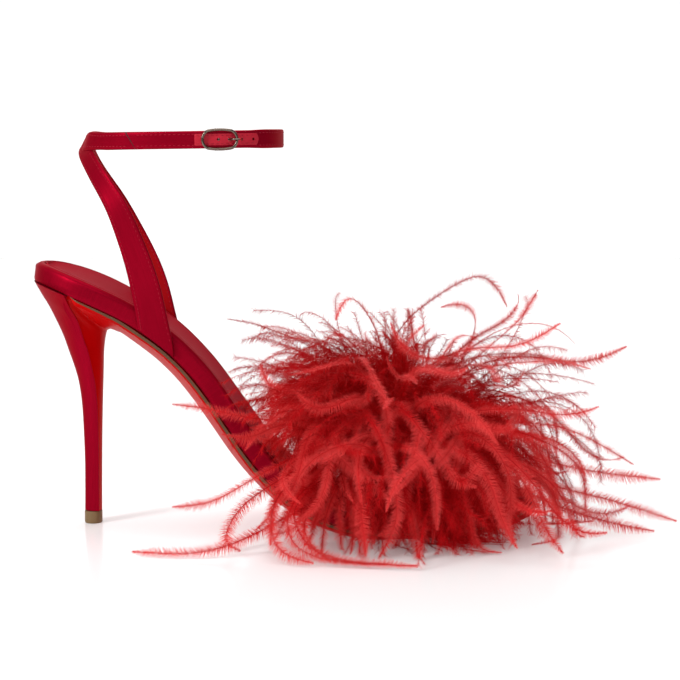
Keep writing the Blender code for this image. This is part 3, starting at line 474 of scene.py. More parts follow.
ACROSS_COUNT = 32
ACROSS = [-math.cos(math.pi * k / (ACROSS_COUNT - 1)) for k in range(ACROSS_COUNT)]
waist_share = through(UNDERSIDE, 1)
rounded_share = through(UNDERSIDE, 2)


def smooth_rows(rows, steps):
    """Rows between the given ones, on curves through every one of them."""
    rows = np.array([[tuple(point) for point in row] for row in rows], dtype=float)
    padded = np.concatenate([rows[:1], rows, rows[-1:]])
    result = []
    for a, b, c, d in zip(padded, padded[1:], padded[2:], padded[3:]):
        for step in range(steps):
            t = step / steps
            result.append(0.5 * (2 * b + (c - a) * t + (2 * a - 5 * b + 4 * c - d) * t * t
                                 + (3 * b - a - 3 * c + d) * t ** 3))
    result.append(rows[-1])
    return result


def seat_half():
    """Half the seat's width."""
    return half_widths(SEAT_ROUND)[1]


def heel_section(row):
    """Named places of one heel section: back, corner, front, half width and heights."""
    back_level, corner_level, back, corner, front, half, front_level = row
    return {
        "back": back * SEAT_OVERHANG, "corner": corner * SEAT_OVERHANG,
        "front": front * SEAT_OVERHANG, "half": half * seat_half(),
        "back_z": back_level * SEAT_HEIGHT, "corner_z": corner_level * SEAT_HEIGHT,
        "front_z": front_level * SEAT_HEIGHT,
    }


def tongue_half(row, top):
    """Half the tongue's width, inside the satin's turned edge."""
    return row["half"] - SATIN_LIP - (5 if top else 1) * GAP


def breast_point(row, v, top):
    """A point of the heel's front, under the tongue."""
    bulge = 1 - v * v
    y = v * tongue_half(row, top)
    edge = row["corner"] + (4 * GAP if top else -FLAP_THICKNESS)
    x = edge + (row["front"] - FLAP_THICKNESS - edge) * bulge
    if top:
        return Vector((x, y, sole_level(x) - GAP))
    lift = 0.35 * max(row["corner_z"] - row["front_z"], 0)
    return Vector((x, y, row["corner_z"] + (row["front_z"] + lift - row["corner_z"]) * bulge))


def tongue_point(row, v, top):
    """A point of the tongue's outer face."""
    bulge = math.cos(v * math.pi / 2)
    y = v * tongue_half(row, top)
    return Vector((row["corner"] + (row["front"] - row["corner"]) * bulge, y,
                   row["corner_z"] + (row["front_z"] - row["corner_z"]) * bulge))


def edged(upper, under, bare=BARE_EDGE):
    """One section of the sole, with a line along both upright edges where the lacquer stops."""
    near = upper[0].lerp(under[0], bare)
    far = upper[-1].lerp(under[-1], bare)
    return upper + [far] + under[::-1] + [near]


outsole_rows = []
for share in reversed(WAIST_STATIONS):
    x = place_at(share)
    outer, inner = half_widths(share)
    half = (inner + outer) / 2 + EDGE_MARGIN
    full = OUTSOLE_THICKNESS + (WAIST_THICKNESS - OUTSOLE_THICKNESS) * waist_share(share)
    upper, under = [], []
    for v in ACROSS:
        bulge = math.sin(math.pi / 2 * min(1.0, (1 - abs(v)) / rounded_share(share)))
        y = (inner - outer) / 2 + v * half
        upper.append(on_sole(x, y, -GAP))
        under.append(on_sole(x, y, -GAP - EDGE_HEIGHT - (full - EDGE_HEIGHT) * bulge))
    outsole_rows.append(edged(upper, under))
for (edge, middle, under_x, under_z), bare in zip(TURN_SECTIONS, BARE_AT_TURN):
    edge_x, centre_x = edge * SEAT_OVERHANG, middle * SEAT_OVERHANG
    half = half_widths(share_at(edge_x))[1] + EDGE_MARGIN
    low_edge = on_sole(edge_x, 0, -GAP - EDGE_HEIGHT)
    low_middle = Vector((under_x * SEAT_OVERHANG, 0, under_z * SEAT_HEIGHT))
    upper, under = [], []
    for v in ACROSS:
        x = edge_x + (centre_x - edge_x) * (1 - v * v)
        upper.append(Vector((x, v * half, sole_level(x) - GAP)))
        point = low_edge.lerp(low_middle, math.cos(v * math.pi / 2))
        under.append(Vector((point.x, v * half, point.z)))
    outsole_rows.append(edged(upper, under, bare))
edged_rows = len(outsole_rows)
for index, section in enumerate(heel_section(row) for row in HEEL_SECTIONS):
    upper = [breast_point(section, v, index == 0) for v in ACROSS]
    under = [tongue_point(section, v, index == 0) for v in ACROSS]
    if index == 0:
        ahead = Vector((EDGE_HEIGHT + 3 * GAP, 0, -EDGE_HEIGHT / 2))
        under = [point + ahead * abs(v) ** 8 for point, v in zip(under, ACROSS)]
    outsole_rows.append(edged(upper, under, BARE_ON_TONGUE))

# Lacquer, sprayed over a filled leather sole: a hard clear gloss with a trace of spray texture.
red_lacquer, lacquer_shader = start_finish(
    "red_lacquer", "#BA0002", roughness=0.45, ior=1.5, specular_ior_level=0.03,
    coat_weight=0.09, coat_roughness=0.08)
add_grain(red_lacquer, lacquer_shader, "ShaderNodeTexNoise", 0.05, 0.0004,
          scale=380.0, detail=1.0)

# Waxed leather edge, trimmed and ironed: fibres in thin layers along the edge show as fine lines.
tan_edge, edge_shader = start_finish(
    "tan_leather_edge", "#5E3E26", roughness=0.48, ior=1.5, specular_ior_level=0.4)
edge_metres = add_node(tan_edge, "ShaderNodeTexCoord").outputs["Object"]
layers = add_node(tan_edge, "ShaderNodeMapping", [(edge_metres, "Vector")],
                  scale=(120.0, 120.0, 2600.0))
fibres = add_node(tan_edge, "ShaderNodeTexNoise", [(layers.outputs[0], "Vector")],
                  scale=1.0, detail=3.0)
add_node(tan_edge, "ShaderNodeMix", [(fibres.outputs["Fac"], "Factor")], data_type="RGBA",
         numbered={6: linear("#4C301C"), 7: linear("#6C4A2C")},
         into=(2, edge_shader, "Base Color"))

ROW_STEPS = 6


def outsole_paint(row, column):
    """Tan on the bare part of the upright edges, lacquer elsewhere."""
    upright = column in (ACROSS_COUNT - 1, 2 * ACROSS_COUNT + 1)
    return 1 if upright and row < edged_rows * ROW_STEPS else 0


outsole = skin("outsole_lacquered", smooth_rows(outsole_rows, ROW_STEPS),
               [red_lacquer, tan_edge], outsole_paint)
show(outsole, "red_lacquer", "outsole")

# Heel
# A turned stiletto block covered in satin with its seam at the front, where the cloth's edges go
# under the tongue of the sole. It is glued and nailed under the seat.

HEEL_STEPS = 7
FRONT_COUNT = 24
BACK_COUNT = 40
SEAM_FLARE = 3 * GAP         # how far the cloth's edge goes back under the tongue
FRONT_ACROSS = [-math.cos(math.pi * k / (FRONT_COUNT - 1)) for k in range(FRONT_COUNT)]

heel_loops = []
for index, section in enumerate(heel_section(row) for row in HEEL_SECTIONS):
    top = index == 0
    front = []
    for v in FRONT_ACROSS:
        point = breast_point(section, v, top) - Vector((2 * GAP if top else GAP, 0, 0))
        if abs(v) > 0.999:
            point.y = v * (section["half"] - SATIN_LIP)
            flare = min(1.0, 1.5 * section["half"] / seat_half())
            point.x = section["corner"] - 0.0001 if top else point.x - SEAM_FLARE * flare
        front.append(point)
    back = []
    for step in range(BACK_COUNT):
        angle = math.pi * step / (BACK_COUNT - 1)
        bow = math.sin(angle)
        back.append(Vector((
            section["corner"] + (section["back"] - section["corner"]) * bow,
            section["half"] * math.cos(angle),
            section["corner_z"] + (section["back_z"] - section["corner_z"]) * bow)))
    lips = [Vector((section["corner"], side * (section["half"] - SATIN_LIP), section["corner_z"]))
            for side in (1, -1)]
    loop = front[FRONT_COUNT // 2:] + [lips[0]] + back + [lips[1]] + front[:FRONT_COUNT // 2]
    if top:
        for point in loop:
            point.z = sole_level(point.x) - GAP
    heel_loops.append(loop)
heel = skin("heel_satin", smooth_rows(heel_loops, HEEL_STEPS), [red_satin])
show(heel, "red_satin", "heel")

# Heel tip
# A moulded polyurethane top piece on a steel pin, pressed up into the heel. Its lower edge is
# slightly worn round.

TIP_LENGTH = 0.0072
TIP_WIDTH = 0.0084
TIP_STEPS = 48

# Polyurethane from a spark eroded mould: a matt, even grain.
tip_rubber, tip_shader = start_finish(
    "tan_polyurethane", "#7C6240", roughness=0.55, ior=1.5, specular_ior_level=0.4)
add_grain(tip_rubber, tip_shader, "ShaderNodeTexNoise", 0.15, 0.0002,
          scale=900.0, detail=4.0)


def tip_ring(scale, z):
    """The tip's outline: round at the back, squarer at the front."""
    points = []
    for step in range(TIP_STEPS):
        angle = math.tau * (step + 0.5) / TIP_STEPS
        c, s = math.cos(angle), math.sin(angle)
        reach = math.copysign(abs(c) ** (0.78 if c > 0 else 1.0), c)
        points.append((TIP_LENGTH / 2 * scale * reach, TIP_WIDTH / 2 * scale * s, z))
    return points


tip = skin("heel_tip_top_piece", [
    tip_ring(0.90, 0.0), tip_ring(0.96, 0.00005), tip_ring(0.99, 0.0003), tip_ring(1.0, 0.0008),
    tip_ring(1.0, TIP_HEIGHT - 0.0003), tip_ring(0.97, TIP_HEIGHT)], [tip_rubber], sharp=60)
show(tip, "tan_rubber", "heel_tip")

# Ankle straps
# Two satin straps lined with leather rise from under the footbed, cross behind the ankle and go
# round it as one loop. The edges are turned in and stitched down on both sides.

ANKLE_LENGTH = 0.0785
ANKLE_WIDTH = 0.0600
ANKLE_BACK = -0.0018
LOOP_HEIGHT = 0.1568
LOOP_SLOPE = 0.0012
INNER_SHIFT = 0.0010
INNER_LEAN = 0.0064
STRAP_WIDTH = 0.0074
STRAP_THICKNESS = 0.0016
BILLET_WIDTH = 0.0068
BUCKLE_PLACE = 0.710
BILLET_END = 0.280
UNDERLAP = 0.0021
CROSS_INSET = 0.0012
BAR_PLACE = -0.0011
CUT_SLANT = 0.66
CUT_LENGTH = 0.0040          # the slant fades out over this length
PATH_STEPS = 14
KNEE_ROW = 8.3               # the riser's row up to which it is smoothed the most
RISER_EASING = 90
LOOP_EASING = 8

# One riser from the footbed to the back of the ankle: height as a share of the rise, place along
# the loop's length, how far it follows the footbed's wall, its distance from the middle as a share
# of the ankle's half width, its width as a share of the strap's, and its tilt and turn in degrees
RISER = (
    (0.010, 0.398, 1.0, 0.850, 2.30, -39, 0), (0.100, 0.380, 0.9, 0.850, 1.70, -8, 0),
    (0.185, 0.365, 0.7, 0.840, 1.64, 2, 0), (0.290, 0.345, 0.4, 0.855, 1.58, 12, 0),
    (0.424, 0.311, 0.1, 0.890, 1.44, 15, -4), (0.556, 0.262, 0.0, 0.900, 1.33, 20, -8),
    (0.690, 0.207, 0.0, 0.867, 1.22, 27, -16), (0.798, 0.128, 0.0, 0.717, 1.14, 36, -30),
    (0.894, 0.056, 0.0, 0.460, 1.08, 52, -40),
)
# where a strap turns into the loop: the riser's columns without the wall and the turn
CROSSING = ((0.978, 0.006, 0.000, 1.08, 60), (0.998, 0.026, 0.330, 1.02, 76))
# the loop seen from above: shares of its length and of half its width
LOOP_PLAN = (
    (0.085, 0.550), (0.165, 0.740), (0.260, 0.870), (0.400, 0.970), (0.580, 0.998),
    (BUCKLE_PLACE, 0.948), (0.830, 0.830), (0.915, 0.650), (0.965, 0.445), (0.992, 0.220),
    (1.000, 0.000),
)
loop_across = through(LOOP_PLAN, 1)


def loop_place(along, across, side):
    """Middle of the ankle strap at a place seen from above."""
    half = (ANKLE_WIDTH + STRAP_THICKNESS) / 2
    return Vector((ANKLE_BACK + (ANKLE_LENGTH + STRAP_THICKNESS) * along, side * half * across,
                   LOOP_HEIGHT + LOOP_SLOPE * (along - 0.5)))


def rise_level(rise):
    """Height of a share of the riser's rise."""
    base = sole_level(ANKLE_BACK + ANKLE_LENGTH * RISER[0][1])
    return base + (LOOP_HEIGHT - base) * rise


def riser_rows(side):
    """Rows of one riser: place, width, tilt, turn and how far it is pressed in."""
    shift = INNER_SHIFT if side > 0 else 0.0
    base = ANKLE_BACK + ANKLE_LENGTH * RISER[0][1] - shift
    reach = STRAP_WIDTH * RISER[0][4] / 2 * 0.78
    index = 0 if side < 0 else 1
    rear, front = (half_widths(share_at(base + way))[index] for way in (-reach, reach))
    seat = (rear + front) / 2 + 2 * GAP + STRAP_THICKNESS / 2
    seat_turn = math.degrees(math.atan((rear - front) / (2 * reach)))
    rows = []
    for rise, along, on_wall, half_share, width, tilt, turn in RISER:
        half = seat * on_wall + (1 - on_wall) * half_share * ANKLE_WIDTH / 2
        back = shift * (1 - rise)
        if side > 0:
            back += INNER_LEAN * math.sin(math.pi * rise ** 2)
        rows.append((ANKLE_BACK + ANKLE_LENGTH * along - back, side * half, rise_level(rise),
                     width * STRAP_WIDTH, tilt, -side * (turn + seat_turn * on_wall), 0.0))
    return rows


def crossing_rows(side, inset):
    """Rows where a riser turns into the loop, pressed in by an inset."""
    return [(ANKLE_BACK + ANKLE_LENGTH * along, side * across * ANKLE_WIDTH / 2,
             rise_level(rise), width * STRAP_WIDTH, tilt, 0, inset)
            for rise, along, across, width, tilt in CROSSING]


def loop_rows(side, places, width, inset):
    """Rows of the loop at places of its plan."""
    return [(*loop_place(along, across, side), width, 90, 0, inset) for along, across in places]


def ease(line, times, end=None):
    """Smooth the points of a line in place, up to a row, with both ends held."""
    part = line[:end]
    for turn in range(times):
        part[1:-1] = 0.25 * part[:-2] + 0.5 * part[1:-1] + 0.25 * part[2:]


def strap_path(rows):
    """Middle, way across, way out, way along, half width and length so far, along a strap."""
    axis = ANKLE_BACK + ANKLE_LENGTH * 0.45
    fine = np.array(smooth_rows([[row] for row in rows], PATH_STEPS))
    ease(fine, RISER_EASING, int(KNEE_ROW * PATH_STEPS) + 1)
    ease(fine, LOOP_EASING)
    points = [Vector(row[0][:3]) for row in fine]
    path, length = [], 0.0
    for index, row in enumerate(fine):
        x, y, _, width, tilt, turn, inset = row[0]
        ahead = points[min(index + 1, len(points) - 1)]
        behind = points[max(index - 1, 0)]
        tilt, turn = math.radians(tilt), math.radians(turn)
        across = Vector((math.cos(tilt) * math.cos(turn), math.cos(tilt) * math.sin(turn),
                         math.sin(tilt)))
        out = across.cross(ahead - behind).normalized()
        if out.dot(Vector((x - axis, y, 0))) < 0:
            out.negate()
        if index:
            length += (points[index] - points[index - 1]).length
        path.append((points[index] - out * inset, across, out, (ahead - behind).normalized(),
                     width / 2, length))
    return path


def strap_section(half, thick):
    """Half the outline of a turned-in edge, from the inner face to the outer face."""
    soft = thick * 0.95
    edge = [(half - soft + soft * math.cos(a), thick * math.sin(a))
            for a in (math.pi / 2 * (k / 4 - 1) for k in range(9))]
    return [(half * 0.45, -thick)] + edge + [(half * 0.45, thick)]


def strap_loops(path, cut=0.0):
    """Outlines along a strap; cut slants its last end, as a length for each length across."""
    loops = []
    last = path[-1][5]
    for middle, across, out, along, half, length in path:
        right = strap_section(half, STRAP_THICKNESS / 2)
        left = [(-a, b) for a, b in reversed(right)]
        fade = max(0.0, 1 - (last - length) / CUT_LENGTH)
        loops.append([middle + across * a + out * b + along * (cut * a * fade)
                      for a, b in right + left])
    return loops


near_places = [place for place in LOOP_PLAN if place[0] < BUCKLE_PLACE]
billet_places = [place for place in reversed(LOOP_PLAN[:-4]) if place[0] > BILLET_END + 0.03]
billet_places.append((BILLET_END, loop_across(BILLET_END)))
outer_rows = riser_rows(-1) + crossing_rows(1, 0.0) + loop_rows(1, LOOP_PLAN, STRAP_WIDTH, 0.0)
outer_rows += loop_rows(-1, LOOP_PLAN[-2:-5:-1], STRAP_WIDTH, 0.0)
outer_rows += loop_rows(-1, billet_places, BILLET_WIDTH, 0.0)
inner_rows = [(*row[:6], CROSS_INSET * share) for row, share in
              zip(riser_rows(1), (0, 0, 0, 0, 0, 0, 0.1, 0.4, 0.8))]
inner_rows += crossing_rows(-1, CROSS_INSET)[:1] + crossing_rows(-1, CROSS_INSET * 1.3)[1:]
inner_rows += loop_rows(-1, near_places[:1], BILLET_WIDTH, UNDERLAP * 0.85)
inner_rows += loop_rows(-1, near_places[1:], BILLET_WIDTH, UNDERLAP)
fold_end = BUCKLE_PLACE + (BAR_PLACE - 0.001) / ANKLE_LENGTH
inner_rows += loop_rows(-1, [(fold_end, loop_across(fold_end))], BILLET_WIDTH, UNDERLAP * 1.15)
outer_path = strap_path(outer_rows)
inner_path = strap_path(inner_rows)

# Lining leather, drum dyed and lightly plated: close pores and a low shine.
lining_leather, lining_shader = start_finish(
    "lining_leather", "#A0040E", roughness=0.55, ior=1.5, specular_ior_level=0.05)
add_grain(lining_leather, lining_shader, "ShaderNodeTexVoronoi", 0.18, 0.0002, scale=1600.0)

# Edge paint on the billet's cut end: thick acrylic, dried to a dark red with a faint orange peel.
# Its dark red is also a painted shadow line where the billet's cut end stands over the strap
# beneath.
edge_paint_and_painted_shadow, edge_paint_and_painted_shadow_shader = start_finish(
    "edge_paint_and_painted_shadow", "#4A0410", roughness=0.5, ior=1.5, specular_ior_level=0.2)
add_grain(edge_paint_and_painted_shadow, edge_paint_and_painted_shadow_shader, "ShaderNodeTexNoise", 0.2, 0.0001,
          scale=900.0, detail=1.0)

# length of the cut end that takes the edge paint and its painted shadow
PAINT_LENGTH = 0.0004
strap_columns = 2 * len(strap_section(1.0, 0.1))


def strap_paint(path):
    """Edge paint and painted shadow on the cut end, leather on the inner face, satin on the outer
    face and edges.
    """
    cut_row = sum(row[5] < path[-1][5] - PAINT_LENGTH for row in path)

    def paint(row, column):
        if row >= min(cut_row, len(path) - 2):
            return 2
        return 1 if column == strap_columns - 1 or column in (0, strap_columns - 2) else 0

    return paint


HOLE_PITCH = 0.0042
HOLE_RADIUS = 0.00062
PRONG_HOLE_RADIUS = 0.00085
PRONG_PLACE = 0.0038
HOLE_SIDES = 20


def strap_frame(along):
    """Origin, direction to the toe, way out and way up of the outer strap at the outer side."""
    origin = loop_place(along, loop_across(along), -1)
    tangent = (loop_place(along + 0.004, loop_across(along + 0.004), -1)
               - loop_place(along - 0.004, loop_across(along - 0.004), -1)).normalized()
    out = Vector((tangent.y, -tangent.x, 0)).normalized()
    return origin, tangent, out, -out.cross(tangent).normalized()


def in_frame(frame_at, along, out, up):
    """A point given by its distances from the middle of the strap."""
    origin, tangent, outward, upward = frame_at
    return origin + tangent * along + outward * out + upward * up


def tube_faces(first, rings, sides):
    """Faces of a closed tube through rings of points, from its first point's number on."""
    faces = []
    for start in range(first, first + (rings - 1) * sides, sides):
        for step in range(sides):
            a, b = start + step, start + (step + 1) % sides
            faces.append((a, b, b + sides, a + sides))
    faces.append(tuple(first + step for step in reversed(range(sides))))
    faces.append(tuple(first + sides * (rings - 1) + step for step in range(sides)))
    return faces


# The punch goes from the outer face through the billet only, with a wider hole at the prong.
punch_points, punch_faces = [], []
for number in (-1, 0, 1, 2):
    away = PRONG_PLACE + number * HOLE_PITCH
    hole = strap_frame(BUCKLE_PLACE + away / ANKLE_LENGTH)
    radius = HOLE_RADIUS if number else PRONG_HOLE_RADIUS
    punch_faces += tube_faces(len(punch_points), 2, HOLE_SIDES)
    for out in (-STRAP_THICKNESS / 2 - 0.0002, 0.003):
        for angle in (math.tau * step / HOLE_SIDES for step in range(HOLE_SIDES)):
            punch_points.append(in_frame(hole, radius * math.cos(angle), out,
                                         radius * math.sin(angle)))
punch_mesh = bpy.data.meshes.new("punch")
punch_mesh.from_pydata(punch_points, [], punch_faces)
punch = turned_out(put("punch", punch_mesh))
punch.hide_render = True


def punched(shape):
    """The same shape with the holes cut through it."""
    step = shape.modifiers.new("Punch", "BOOLEAN")
    step.operation = "DIFFERENCE"
    step.solver = "EXACT"
    step.object = punch
    return shape


outer_strap = skin("outer_strap_satin", strap_loops(outer_path, CUT_SLANT),
                   [red_satin, lining_leather, edge_paint_and_painted_shadow], strap_paint(outer_path), sharp=60)
show(punched(outer_strap), "red_satin", "ankle_straps")
inner_strap = skin("inner_strap_satin", strap_loops(inner_path),
                   [red_satin, lining_leather, edge_paint_and_painted_shadow], strap_paint(inner_path), sharp=60)
show(inner_strap, "red_satin", "ankle_straps")

# Stitching
# Bonded polyester thread, about 0.3 mm thick, sewn at 1.8 mm a stitch 1.3 mm inside both edges
# of the straps, through satin and lining. Each stitch shows as a short raised dash.

STITCH_PITCH = 0.0018
STITCH_LENGTH = 0.00110
THREAD_RADIUS = 0.00014
STITCH_INSET = 0.0013
SEAM_START = 0.004
SEAM_END = 0.003
SEAM_UNDER_BILLET = 0.036    # where the billet covers the inner strap, no stitches show
THREAD_SIDES = 6

# Bonded thread: filaments twisted under a thin resin, a little lighter than the satin and even in
# tone, with its twist too fine to see.
red_thread, thread_shader = start_finish(
    "bonded_thread", "#A4142A", roughness=0.50, ior=1.5, specular_ior_level=0.12)
add_grain(red_thread, thread_shader, "ShaderNodeTexNoise", 0.3, 0.0001,
          scale=800.0, detail=2.0)


def stitch_places(path, side, face, end=SEAM_END):
    """Middle, direction and way out of each stitch along one edge of a strap's face."""
    lengths = [row[5] for row in path]
    places = []
    at = SEAM_START
    while at < lengths[-1] - end:
        index = min(bisect_right(lengths, at), len(path) - 1)
        before, after = path[index - 1], path[index]
        t = (at - before[5]) / max(after[5] - before[5], 1e-9)
        edge = [row[0] + row[1] * side * (row[4] - STITCH_INSET)
                + row[2] * face * (STRAP_THICKNESS / 2 + THREAD_RADIUS * 0.35)
                for row in (before, after)]
        places.append((edge[0].lerp(edge[1], t), (edge[1] - edge[0]).normalized(),
                       before[2].lerp(after[2], t).normalized() * face))
        at += STITCH_PITCH
    return places


def sew(name, places):
    """Every stitch as a short rounded dash, all in one mesh."""
    # share of half the stitch's length, share of the thread's radius
    rings = ((-1.0, 0.35), (-0.8, 0.85), (-0.3, 1.0), (0.3, 1.0), (0.8, 0.85), (1.0, 0.35))
    points, faces = [], []
    for middle, way, out in places:
        side = way.cross(out).normalized()
        faces += tube_faces(len(points), len(rings), THREAD_SIDES)
        for along, thick in rings:
            sink = THREAD_RADIUS * 0.9 * abs(along) ** 3
            for angle in (math.tau * step / THREAD_SIDES for step in range(THREAD_SIDES)):
                points.append(middle + way * (along * STITCH_LENGTH / 2) - out * sink
                              + (side * math.cos(angle) + out * math.sin(angle))
                              * THREAD_RADIUS * thick)
    mesh = bpy.data.meshes.new(name)
    mesh.from_pydata(points, [], faces)
    mesh.materials.append(red_thread)
    mesh.shade_smooth()
    return turned_out(put(name, mesh))


seam_places = []
for side in (-1, 1):
    for face in (-1, 1):
        seam_places += stitch_places(outer_path, side, face)
for side in (-1, 1):
    seam_places += stitch_places(inner_path, side, -1)
    seam_places += stitch_places(inner_path, side, 1, SEAM_UNDER_BILLET)
show(sew("strap_stitching", seam_places), "red_satin")

# Hole patch
# A strip of smooth calf leather sewn over the billet so that the holes don't tear, with softly
# rounded ends and a close row of stitches.

PATCH_BACK = -0.0092
PATCH_FRONT = 0.0140
PATCH_WIDTH = 0.0045
PATCH_THICKNESS = 0.00022
PATCH_STEPS = 60
PATCH_SEAM_INSET = 0.0007
PATCH_SEAM_START = 0.0012
PATCH_SEAM_END = 0.0016

# Smooth calf leather, drum dyed: an even grain, clouded tones and a red brighter than the satin's.
calf_leather, calf_shader = start_finish(
    "calf_leather", "#C41A2E", roughness=0.50, ior=1.5, specular_ior_level=0.20)
calf_metres = add_grain(calf_leather, calf_shader, "ShaderNodeTexVoronoi", 0.25, 0.0002,
                        scale=1500.0)
calf_tone = add_node(calf_leather, "ShaderNodeTexNoise", [(calf_metres, "Vector")],
                     scale=420.0, detail=3.0)
add_node(calf_leather, "ShaderNodeMix", [(calf_tone.outputs["Fac"], "Factor")],
         data_type="RGBA", numbered={6: linear("#AE1428"), 7: linear("#CC243A")},
         into=(2, calf_shader, "Base Color"))

patch_rings = []
for step in range(PATCH_STEPS + 1):
    share = 0.5 - 0.5 * math.cos(math.pi * step / PATCH_STEPS)
    away = PATCH_BACK + (PATCH_FRONT - PATCH_BACK) * share
    here = strap_frame(BUCKLE_PLACE + away / ANKLE_LENGTH)
    round_part = PATCH_WIDTH * 0.22
    near_end = min(1.0, (PATCH_FRONT - away) / round_part, 0.55 + (away - PATCH_BACK) / 0.0008)
    half = PATCH_WIDTH / 2 * math.sqrt(max(1 - (1 - near_end) ** 2, 0.0004))
    low, high = STRAP_THICKNESS / 2 - 0.0002, STRAP_THICKNESS / 2 + PATCH_THICKNESS
    soft = min(0.0003, half / 3)
    right = [(half * 0.5, low), (half, low), (half, high - soft * 0.5), (half - soft, high),
             (half * 0.5, high)]
    left = [(-a, b) for a, b in reversed(right)]
    patch_rings.append([in_frame(here, 0, out, up) for up, out in right + left])
patch = skin("billet_patch", patch_rings, [calf_leather], sharp=50)
show(punched(patch), "red_leather")

patch_places = []
for side in (-1, 1):
    at = PATCH_BACK + PATCH_SEAM_START
    while at < PATCH_FRONT - PATCH_SEAM_END:
        here = strap_frame(BUCKLE_PLACE + at / ANKLE_LENGTH)
        patch_places.append((
            in_frame(here, 0, STRAP_THICKNESS / 2 + PATCH_THICKNESS + THREAD_RADIUS * 0.3,
                     side * (PATCH_WIDTH / 2 - PATCH_SEAM_INSET)), here[1], here[2]))
        at += STITCH_PITCH
show(sew("patch_stitching", patch_places), "red_satin")

# Buckle
# A small oval ring of bronze plated zinc wire with a centre bar. The folded end of the inner
# strap holds the bar, the prong hooks round it and lies on the ring's front end.

BUCKLE_LENGTH = 0.0146
BUCKLE_HEIGHT = 0.0086
WIRE = 0.0011
BAR_WIRE = 0.0006
PRONG_WIRE = 0.0008
WIRE_SIDES = 14
WIRE_STEPS = 6
FOLD_RADIUS = 0.0017
EYE_RADIUS = WIRE / 2 + GAP + PRONG_WIRE / 2
BAR_DEPTH = STRAP_THICKNESS / 2 + GAP + FOLD_RADIUS
RING_OUT = STRAP_THICKNESS / 2 + GAP + WIRE / 2

# Bronze plating on cast zinc, tumbled: a soft mirror, in some places duller than in others.
bronze_plate, bronze_shader = start_finish(
    "bronze_plated_zinc", "#75665C", metallic=1.0, roughness=0.20)
bronze_metres = add_node(bronze_plate, "ShaderNodeTexCoord").outputs["Object"]
polish = add_node(bronze_plate, "ShaderNodeTexNoise", [(bronze_metres, "Vector")],
                  scale=300.0, detail=2.0)
add_node(bronze_plate, "ShaderNodeMapRange", [(polish.outputs["Fac"], "Value")],
         into=(0, bronze_shader, "Roughness"), to_min=0.14, to_max=0.26)


def wire(name, places, radius, closed=False, taper=None):
    """A round wire through places, closed to a ring or with square ends."""
    if not closed:
        places = [Vector(row[0]) for row in smooth_rows([[place] for place in places],
                                                        WIRE_STEPS)]
    count, sides = len(places), WIRE_SIDES
    rings = []
    up = Vector((0.12, 0.21, 1.0)).normalized()
    for i, place in enumerate(places):
        ahead = places[(i + 1) % count] if closed else places[min(i + 1, count - 1)]
        behind = places[i - 1] if closed else places[max(i - 1, 0)]
        way = (ahead - behind).normalized()
        up = (up - way * up.dot(way)).normalized()
        side = way.cross(up)
        thick = radius * (taper(i / (count - 1)) if taper else 1.0)
        rings.append([place + (side * math.cos(a) + up * math.sin(a)) * thick
                      for a in (math.tau * (k + 0.5) / sides for k in range(sides))])
    if not closed:
        return skin(name, rings, [bronze_plate], sharp=60)
    mesh = bpy.data.meshes.new(name)
    faces = [(r * sides + c, r * sides + (c + 1) % sides,
              (r + 1) % count * sides + (c + 1) % sides, (r + 1) % count * sides + c)
             for r in range(count) for c in range(sides)]
    mesh.from_pydata([point for ring in rings for point in ring], [], faces)
    mesh.materials.append(bronze_plate)
    mesh.shade_smooth()
    return turned_out(put(name, mesh))


buckle_frame = strap_frame(BUCKLE_PLACE)
long_half, high_half = (BUCKLE_LENGTH - WIRE) / 2, (BUCKLE_HEIGHT - WIRE) / 2
RING_SIDES = 96
ring_places = []
for step in range(RING_SIDES):
    angle = math.tau * (step + 0.5) / RING_SIDES
    c, s = math.cos(angle), math.sin(angle)
    straight = math.copysign(long_half - high_half, c) * min(abs(c) * 2.2, 1.0)
    ring_places.append(in_frame(buckle_frame, straight + high_half * c, RING_OUT,
                                high_half * s))
show(wire("buckle_ring", ring_places, WIRE / 2, closed=True), "bronze", "buckle_frame")
leg = BILLET_WIDTH / 2 + 0.0001 + BAR_WIRE / 2
# distances out of the strap and up from its middle
half_bar = ((RING_OUT, high_half), (RING_OUT - 0.0007, leg), (0.001 - BAR_DEPTH, leg),
            (-BAR_DEPTH, leg - 0.0003))
bar_places = [in_frame(buckle_frame, BAR_PLACE, out, up) for out, up in half_bar]
bar_places += [in_frame(buckle_frame, BAR_PLACE, out, -up) for out, up in reversed(half_bar)]
show(wire("buckle_bar", bar_places, BAR_WIRE / 2), "bronze", "buckle_frame")

EYE_SIDES = 32
eye_places = []
for step in range(EYE_SIDES):
    angle = math.tau * step / EYE_SIDES
    eye_places.append(in_frame(buckle_frame, BAR_PLACE + EYE_RADIUS * math.cos(angle),
                               EYE_RADIUS * math.sin(angle) - BAR_DEPTH, 0))
show(wire("prong_eye", eye_places, PRONG_WIRE / 2, closed=True), "bronze", "buckle_prong")
# distances along the strap and out of its middle, from the eye to the prong's end
prong_route = (
    (BAR_PLACE + EYE_RADIUS, 0.0001 - BAR_DEPTH), (PRONG_PLACE - 0.0014, -0.0021),
    (PRONG_PLACE - 0.0004, -0.0014), (PRONG_PLACE - 0.0001, -0.0005),
    (PRONG_PLACE + 0.0001, 0.0005), (PRONG_PLACE + 0.0006, 0.0015),
    (PRONG_PLACE + 0.0015, RING_OUT + 0.0010), (BUCKLE_LENGTH / 2 - WIRE / 2, RING_OUT + 0.0013),
    (BUCKLE_LENGTH / 2 + 0.0004, RING_OUT + 0.0012),
)
show(wire("prong_arm", [in_frame(buckle_frame, along, out, 0) for along, out in prong_route],
          PRONG_WIRE / 2, taper=lambda t: 1.0 - 0.25 * max(t - 0.6, 0) / 0.4), "bronze",
     "buckle_prong")

